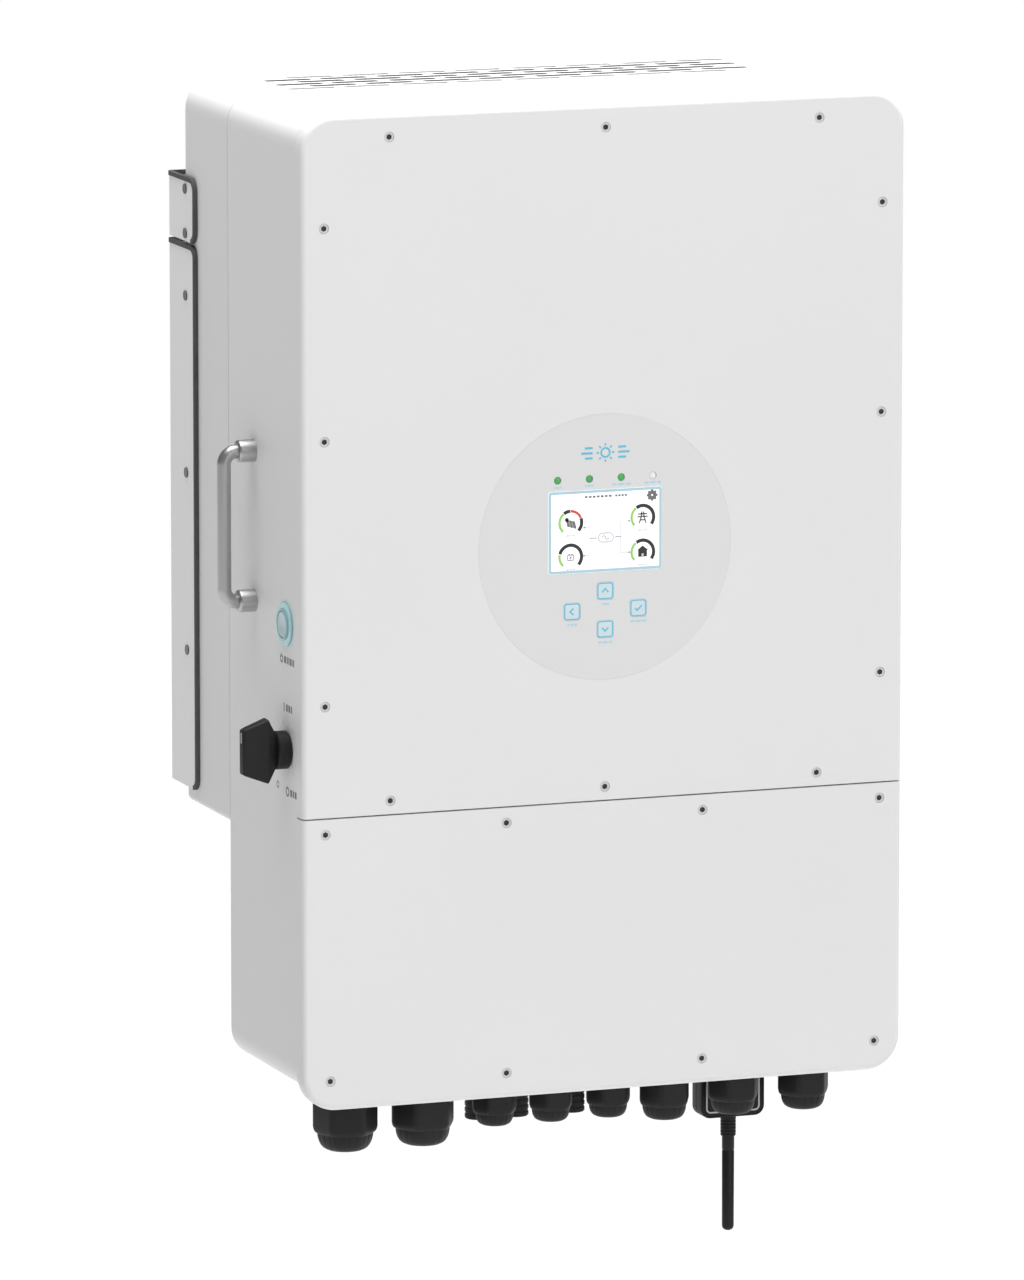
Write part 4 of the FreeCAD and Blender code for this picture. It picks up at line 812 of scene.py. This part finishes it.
def handle(side):
    """A bent bar as a tube along its centre line, in two turned ferrules."""
    direction = 1 if side == "right" else -1
    face = RIGHT_FACE if side == "right" else LEFT_FACE
    bar, posts = side + "_handle_bar", side + "_handle_ferrules"
    radius = (highest(bar).y - lowest(bar).y) / 2
    near_end = lowest(bar).x if direction > 0 else highest(bar).x
    start = abs(near_end - face)
    reach = start + (highest(bar).x - lowest(bar).x) - radius
    low, high = lowest(bar).z + radius, highest(bar).z - radius
    bend = 8.5 * MM
    centre_y = middle(bar).y

    route = [(start, high)]
    route += arc(reach - bend, high - bend, bend, 90, 0, 12)
    route += arc(reach - bend, low + bend, bend, 0, -90, 12)
    route.append((start, low))
    rings = []
    for number, (out, height) in enumerate(route):
        before = Vector(route[max(number - 1, 0)])
        after = Vector(route[min(number + 1, len(route) - 1)])
        along = (after - before).normalized()
        across = Vector((-along.y, along.x))
        ring = []
        for turn in turns(36):
            u = out + across.x * radius * math.cos(turn)
            v = height + across.y * radius * math.cos(turn)
            ring.append(Vector((face + direction * u, centre_y + radius * math.sin(turn), v)))
        rings.append(ring)
    tube = Solid()
    tube.rings(rings)
    tube.piece(side + "_grip", "handle_metal", stands_for=[bar])

    ferrules = Solid()
    for low_corner, high_corner in solids(posts):
        centre = (low_corner + high_corner) / 2
        place = sideways(centre, face, direction)
        outer = (high_corner.y - low_corner.y) / 2
        length = high_corner.x - low_corner.x
        bore = radius + 0.05 * MM
        seat = length - 4 * MM
        screw = 2.55 * MM
        profile = [(screw, 0), (outer, 0), (outer, length - 1.6 * MM),
                   (outer - 0.25 * MM, length - 0.8 * MM), (outer - 0.8 * MM, length - 0.25 * MM),
                   (outer - 1.6 * MM, length),
                   (bore + 0.3 * MM, length), (bore, length - 0.3 * MM), (bore, seat), (screw, seat),
                   (screw, 0)]
        ferrules.lathe(profile, place, 56)
    ferrules.piece(side + "_ferrules", "handle_metal", stands_for=[posts])


# ---- screws

def cover_screws(node):
    """Pale screw heads with a chamfered rim and a hexagon socket, and in each socket a dark filling
    that is painted shade of the recess.
    """
    heads = Solid()
    sockets = Solid()
    for low, high in solids(node):
        centre = (low + high) / 2
        place = forward(centre.x, centre.z)
        radius = (high.x - low.x) / 2
        head_front = FRONT - low.y
        shank, tail = 2 * MM, FRONT - high.y
        hexagon = 1.75 * MM
        segments = 36

        def rim(size, level):
            return [place(size * math.cos(turn), size * math.sin(turn), level)
                    for turn in turns(segments)]

        def socket(size, level):
            ring = []
            for turn in turns(segments):
                fold = (turn + math.pi / 6) % (math.pi / 3) - math.pi / 6
                reach = size / math.cos(fold)
                ring.append(place(reach * math.cos(turn), reach * math.sin(turn), level))
            return ring

        under = -1.2 * MM
        heads.rings([rim(shank, tail), rim(shank, under), rim(radius, under),
                     rim(radius, head_front - 0.35 * MM), rim(radius - 0.35 * MM, head_front),
                     socket(hexagon * 1.08, head_front), socket(hexagon, head_front - 0.15 * MM),
                     socket(hexagon, head_front - 1.8 * MM)])
        # Painted shade: a dark filling set into each socket, standing in for the shade in the recess.
        filling = hexagon * 0.98
        sockets.rings([socket(filling, head_front - 1.7 * MM), socket(filling, head_front - 0.3 * MM),
                       socket(hexagon * 0.5, head_front - 0.9 * MM)])
    heads.piece(node + "_turned", "dark_screw", material=SCREW_WHITE, stands_for=[node], sharp=25)
    sockets.piece(node + "_sockets", "dark_screw", material=INK["dark"], sharp=25)


# ---- cable entry side

def hexed(turn, flats, hexness, round_limit):
    """The radius of a hexagon with rounded corners, fading into a circle as hexness goes to 0."""
    fold = turn % (math.pi / 3) - math.pi / 6
    sharp = min(flats / 2 / math.cos(fold), round_limit)
    return flats / 2 * (1 - hexness) + sharp * hexness


def gland_bore(flats):
    """The bore that goes with a nut's width across flats."""
    if flats > 36 * MM:
        return 10.5 * MM
    return (8 if flats > 30 * MM else 6) * MM


def gland_nuts():
    """Dome nuts: a hexagon with softened corners, and under it a round dome with fine ribs."""
    nuts = Solid()
    segments = 120
    leans = (-14, 0, -3, 2, -2, 4, 0, -1)  # degrees that each nut stands off square
    for (low, high), lean_angle in zip(solids("gland_dome_nuts"), leans):
        centre = (low + high) / 2
        flats = high.y - low.y
        limit = flats / 2 * 1.11
        lean = math.radians(lean_angle)
        bore = gland_bore(flats)
        dome = 0.27 * flats + 1 * MM
        shoulder = low.z + dome

        def level(height, scale, hexness, ribs=0.0):
            ring = []
            for turn in turns(segments):
                radius = hexed(turn, flats, hexness, limit) * scale
                radius -= ribs * max(0.0, math.cos(turn * 20)) ** 4
                angle = turn + lean
                ring.append(Vector((centre.x + radius * math.cos(angle),
                                    centre.y + radius * math.sin(angle), height)))
            return ring

        def hole(height, radius):
            return [Vector((centre.x + radius * math.cos(turn + lean),
                            centre.y + radius * math.sin(turn + lean), height))
                    for turn in turns(segments)]

        neck = bore + 4 * MM
        rings = [hole(high.z, neck), level(high.z, 0.955, 1), level(high.z - 0.8 * MM, 0.995, 1),
                 level(high.z - 1.4 * MM, 1.0, 1), level(shoulder + 4.0 * MM, 1.0, 1),
                 level(shoulder + 2.0 * MM, 0.99, 0.9), level(shoulder + 0.6 * MM, 0.97, 0.75),
                 level(shoulder, 0.95, 0.6), level(shoulder - 0.5 * MM, 0.925, 0.4, 0.3 * MM)]
        drop = dome - 0.5 * MM
        steps = 7
        for step in range(1, steps + 1):
            bend = math.radians(step * 12.5)
            height = shoulder - 0.5 * MM - drop * 0.96 * math.sin(bend)
            rings.append(level(height, 0.63 + 0.295 * math.cos(bend), 0.4 * (1 - step / steps),
                               0.4 * MM * (1 - step / (steps + 1))))
        rings.append(level(low.z, 0.615, 0))
        rings += [hole(low.z, bore + 1.2 * MM), hole(low.z + 0.6 * MM, bore),
                  hole(low.z + 5 * MM, bore), hole(low.z + 5.2 * MM, neck), hole(high.z, neck)]
        nuts.rings(rings, caps=False)
    nuts.piece("dome_nuts", "gland_plastic", stands_for=["gland_dome_nuts"], sharp=28)


def pv_sockets():
    """Panel sockets with a flanged collar, a ribbed grip and a hollow mouth."""
    sockets = Solid()
    for low, high in solids("pv_sockets"):
        centre = (low + high) / 2
        place = upright(centre)
        radius = (high.x - low.x) / 2
        wall_face = lowest("front_housing").z
        neck = 6.5 * MM
        mouth = 5.5 * MM
        tip, flange = low.z, wall_face - 5 * MM
        skirt = wall_face - 16 * MM
        floor, core, groove = tip + 22 * MM, 0.4 * MM, radius - 0.5 * MM
        profile = [(mouth, floor), (core, floor), (core, high.z), (neck, high.z), (neck, wall_face),
                   (groove, wall_face), (groove, flange + 0.6 * MM), (radius - 1.1 * MM, flange),
                   (neck + 0.8 * MM, flange), (neck + 0.8 * MM, skirt),
                   (radius - 0.6 * MM, skirt)]
        ribs = 6
        rib_top = skirt - 1.5 * MM
        pitch = (rib_top - tip - 3 * MM) / ribs
        for rib in range(ribs):
            top = rib_top - pitch * rib
            profile += [(radius, top), (radius, top - pitch * 0.55), (groove, top - pitch * 0.65),
                        (groove, top - pitch * 0.9)]
        profile += [(radius, tip + 2.8 * MM), (radius, tip + 0.7 * MM), (radius - 0.7 * MM, tip),
                    (mouth + 0.6 * MM, tip), (mouth, tip + 0.6 * MM), (mouth, floor)]
        sockets.lathe(profile, place, 48)
    sockets.piece("pv_socket_bodies", "black_plastic", stands_for=["pv_sockets"])


def data_logger():
    """The logger's case, with soft edges and a paler rim round its front."""
    low, high = lowest("logger_body"), highest("logger_body")
    half_width, depth = (high.x - low.x) / 2 / MM, (high.y - low.y) / MM
    tall = (high.z - low.z) / MM
    x0 = (low.x + high.x) / 2

    def place(u, v, back):
        return Vector((x0 + u * MM, low.y + back * MM, low.z + v * MM))

    def outline(inset):
        return rounded_box(inset - half_width, half_width - inset, inset, tall - inset,
                           max(0.8, 3 - inset), 7 - inset, steps=8)

    case = Solid()
    levels = ((1.6, 0.35), (1.5, 0.35), (1.2, 0.0), (0.6, 0.15), (0.15, 0.7), (0, 1.5),
              (0, depth * 0.52), (0.35, depth * 0.53), (0.35, depth * 0.57), (0, depth * 0.58),
              (0, depth - 1.2), (0.35, depth - 0.35), (1.2, depth))
    case.rings([[place(u, v, back) for u, v in outline(inset)] for inset, back in levels])
    case.piece("logger_case", "black_plastic", stands_for=["logger_body"])

    rim = Solid()
    layers = []
    for inset, back in ((3.6, 0.36), (3.6, 0.1), (4.6, 0.1), (4.6, 0.36), (3.6, 0.36)):
        layers.append([place(u, v, back) for u, v in outline(inset)])
    rim.rings(layers, caps=False)
    rim.piece("logger_rim", "black_plastic", material=INK["silver"])


def antenna():
    """A knurled collar and a plain rod with a round tip, on one upright axis."""
    whip_low, whip_high = lowest("antenna_whip"), highest("antenna_whip")
    collar_low, collar_high = lowest("antenna_ferrule"), highest("antenna_ferrule")
    at = upright(middle("antenna_whip"))
    radius = (whip_high.x - whip_low.x) / 2
    collar = (collar_high.x - collar_low.x) / 2
    ferrule = Solid()
    profile = [(1 * MM, collar_high.z), (collar, collar_high.z)]
    knurls, groove = 5, collar - 0.35 * MM
    pitch = (collar_high.z - collar_low.z - 3 * MM) / knurls
    for knurl in range(knurls):
        top = collar_high.z - 1.5 * MM - pitch * knurl
        profile += [(collar, top), (collar, top - pitch * 0.6), (groove, top - pitch * 0.75),
                    (groove, top - pitch * 0.9)]
    profile += [(collar, collar_low.z + 1.4 * MM), (collar - 0.3 * MM, collar_low.z + 0.3 * MM),
                (collar - 0.8 * MM, collar_low.z), (1 * MM, collar_low.z)]
    ferrule.lathe(profile, at, 48)
    ferrule.piece("antenna_collar", "black_plastic", stands_for=["antenna_ferrule"])
    whip = Solid()
    joint = whip_high.z - 9 * MM
    groove = radius - 0.25 * MM
    profile = [(1 * MM, whip_high.z), (radius, whip_high.z), (radius, joint),
               (groove, joint - 0.4 * MM), (groove, joint - 1.2 * MM),
               (radius - 0.05 * MM, joint - 1.6 * MM)]
    tip = 3.4 * MM
    for u, v in arc(0, 0, 1, 0, -84, 8):
        profile.append(((radius - 0.15 * MM) - tip * (1 - u), whip_low.z + tip + tip * v))
    whip.lathe(profile, at, 40)
    whip.piece("antenna_rod", "black_plastic", stands_for=["antenna_whip"])


def plate_gap_shade():
    """Dark channels on the top and front edges of the two rear plates: painted shade of the gaps
    between the plates and the shroud, drawn as an edge channel.
    """
    half = highest("rear_duct_plate").x
    back = highest("rear_duct_plate").y
    mid = 0.75 * MM  # half the sheet
    bend = 3 * MM - mid
    corner = 8 * MM
    hook = 112 * MM  # the hook hides the top edge this far to either side
    up, rear = Vector((0, 0, 1)), Vector((0, 1, 0))
    leg, cover, inner, outer = 2.4 * MM, 0.6 * MM, 0.8 * MM, 1.35 * MM
    section = [(outer, -leg), (outer, cover), (-outer, cover), (-outer, -leg),
               (-inner, -leg), (-inner, 0.05 * MM), (inner, 0.05 * MM), (inner, -leg)]
    shade_strips = Solid()
    for node in ("hanger_plate", "rear_duct_plate"):
        low, high, front = lowest(node).z, highest(node).z, lowest(node).y
        for side in (-1, 1):
            # each station: a point on the edge, the way out of the edge, the way off the sheet
            stations = [(Vector((side * hook, back - mid, high)), up, rear)]
            for u, v in arc(0, 0, 1, 90, 0, 6):
                spot = Vector((side * (half - mid - bend + bend * u), back - mid - bend + bend * v,
                               high))
                stations.append((spot, up, Vector((side * u, v, 0))))
            x = side * (half - mid)
            for v, w in arc(0, 0, 1, 90, 180, 8):
                spot = Vector((x, front + corner + corner * v, high - corner + corner * w))
                stations.append((spot, Vector((0, v, w)), Vector((side, 0, 0))))
            for v, w in arc(0, 0, 1, 180, 262, 8):
                spot = Vector((x, front + corner + corner * v, low + corner + corner * w))
                stations.append((spot, Vector((0, v, w)), Vector((side, 0, 0))))
            shade_strips.rings([[spot + off * n + out * e for n, e in section]
                         for spot, out, off in stations])
    shade_strips.piece("plate_edge_gap_shade", "seal_rubber", material=GAP_SHADE)


# ---- camera, light and floor

def camera():
    """A long lens that looks along the direction given at the top."""
    data = bpy.data.cameras.new("camera")
    data.lens = CAMERA_LENS
    data.sensor_width = 36
    data.clip_start = 0.5
    data.clip_end = 60
    back = Vector((-math.sin(CAMERA_AZIMUTH) * math.cos(CAMERA_ELEVATION),
                   -math.cos(CAMERA_AZIMUTH) * math.cos(CAMERA_ELEVATION), math.sin(CAMERA_ELEVATION)))
    viewer = into_scene("camera", data)
    aim = Vector((CAMERA_AIM.x, FRONT, CAMERA_AIM.z))
    viewer.location = aim + back * CAMERA_DISTANCE
    viewer.rotation_euler = back.to_track_quat("Z", "Y").to_euler()
    bpy.context.scene.camera = viewer


def sun(name, direction, strength, softness):
    """Even light from a direction; softness is the sun's width in degrees."""
    data = bpy.data.lights.new(name, "SUN")
    data.energy = strength
    data.angle = math.radians(softness)
    into_scene(name, data).rotation_euler = Vector(direction).to_track_quat("Z", "Y").to_euler()


def soft_box(place, width, depth, power):
    """A lamp that shines straight down in a narrow beam."""
    data = bpy.data.lights.new("soft_box", "AREA")
    data.shape = "RECTANGLE"
    data.size = width
    data.size_y = depth
    data.energy = power
    data.spread = math.radians(80)
    into_scene("soft_box", data).location = place


def pale_floor(level, half):
    """A plain floor, far enough down that a view from below isn't hidden by it."""
    mesh = bpy.data.meshes.new("floor")
    mesh.from_pydata([(-half, -half, level), (half, -half, level), (half, half, level),
                      (-half, half, level)], [], [(0, 1, 2, 3)])
    material, nodes, links, shader = node_tree("floor_paper")
    preset(shader, Specular_IOR_Level=0.0)
    paper = noise(nodes, links, 3)
    links.new(ramp(nodes, links, paper, (0.93, 0.93, 0.93), (0.95, 0.95, 0.95)),
              shader.inputs["Base Color"])
    mesh.materials.append(material)
    floor = into_scene("floor", mesh)


def studio():
    """An even sky, suns from above and from the front right, a soft box overhead, a floor."""
    scene = bpy.context.scene
    scene.view_settings.view_transform = "Standard"
    world = bpy.data.worlds.new("studio")
    world.use_nodes = True
    nodes, links = world.node_tree.nodes, world.node_tree.links
    sky = nodes["Background"]
    preset(sky, Color=(1, 1, 1, 1))
    path = nodes.new("ShaderNodeLightPath")
    level = nodes.new("ShaderNodeMapRange")
    preset(level, To_Min=0.22, To_Max=1.0)  # as a light, and as the camera sees it
    links.new(path.outputs["Is Camera Ray"], level.inputs["Value"])
    links.new(level.outputs["Result"], sky.inputs["Strength"])
    scene.world = world
    sun("sun_above", (0.1, -0.12, 1), 2.5, 60)
    sun("sun_front", (0.35, -0.9, 0.35), 0.84, 50)
    soft_box((0, middle("rear_shroud").y, cad_bounds[1][2] + 0.7), width=0.9, depth=0.7, power=3.2)
    pale_floor(level=cad_bounds[0][2] - 8.0, half=60.0)


# ---- the whole scene

camera()
studio()
paint_frame()
screen()
panel_marks()
keys()
lamps()
start_button()
isolator()
for hand in ("left", "right"):
    handle(hand)
for screw_node in ("upper_cover_screws", "lower_cover_screws"):
    cover_screws(screw_node)
gland_nuts()
pv_sockets()
data_logger()
antenna()
plate_gap_shade()
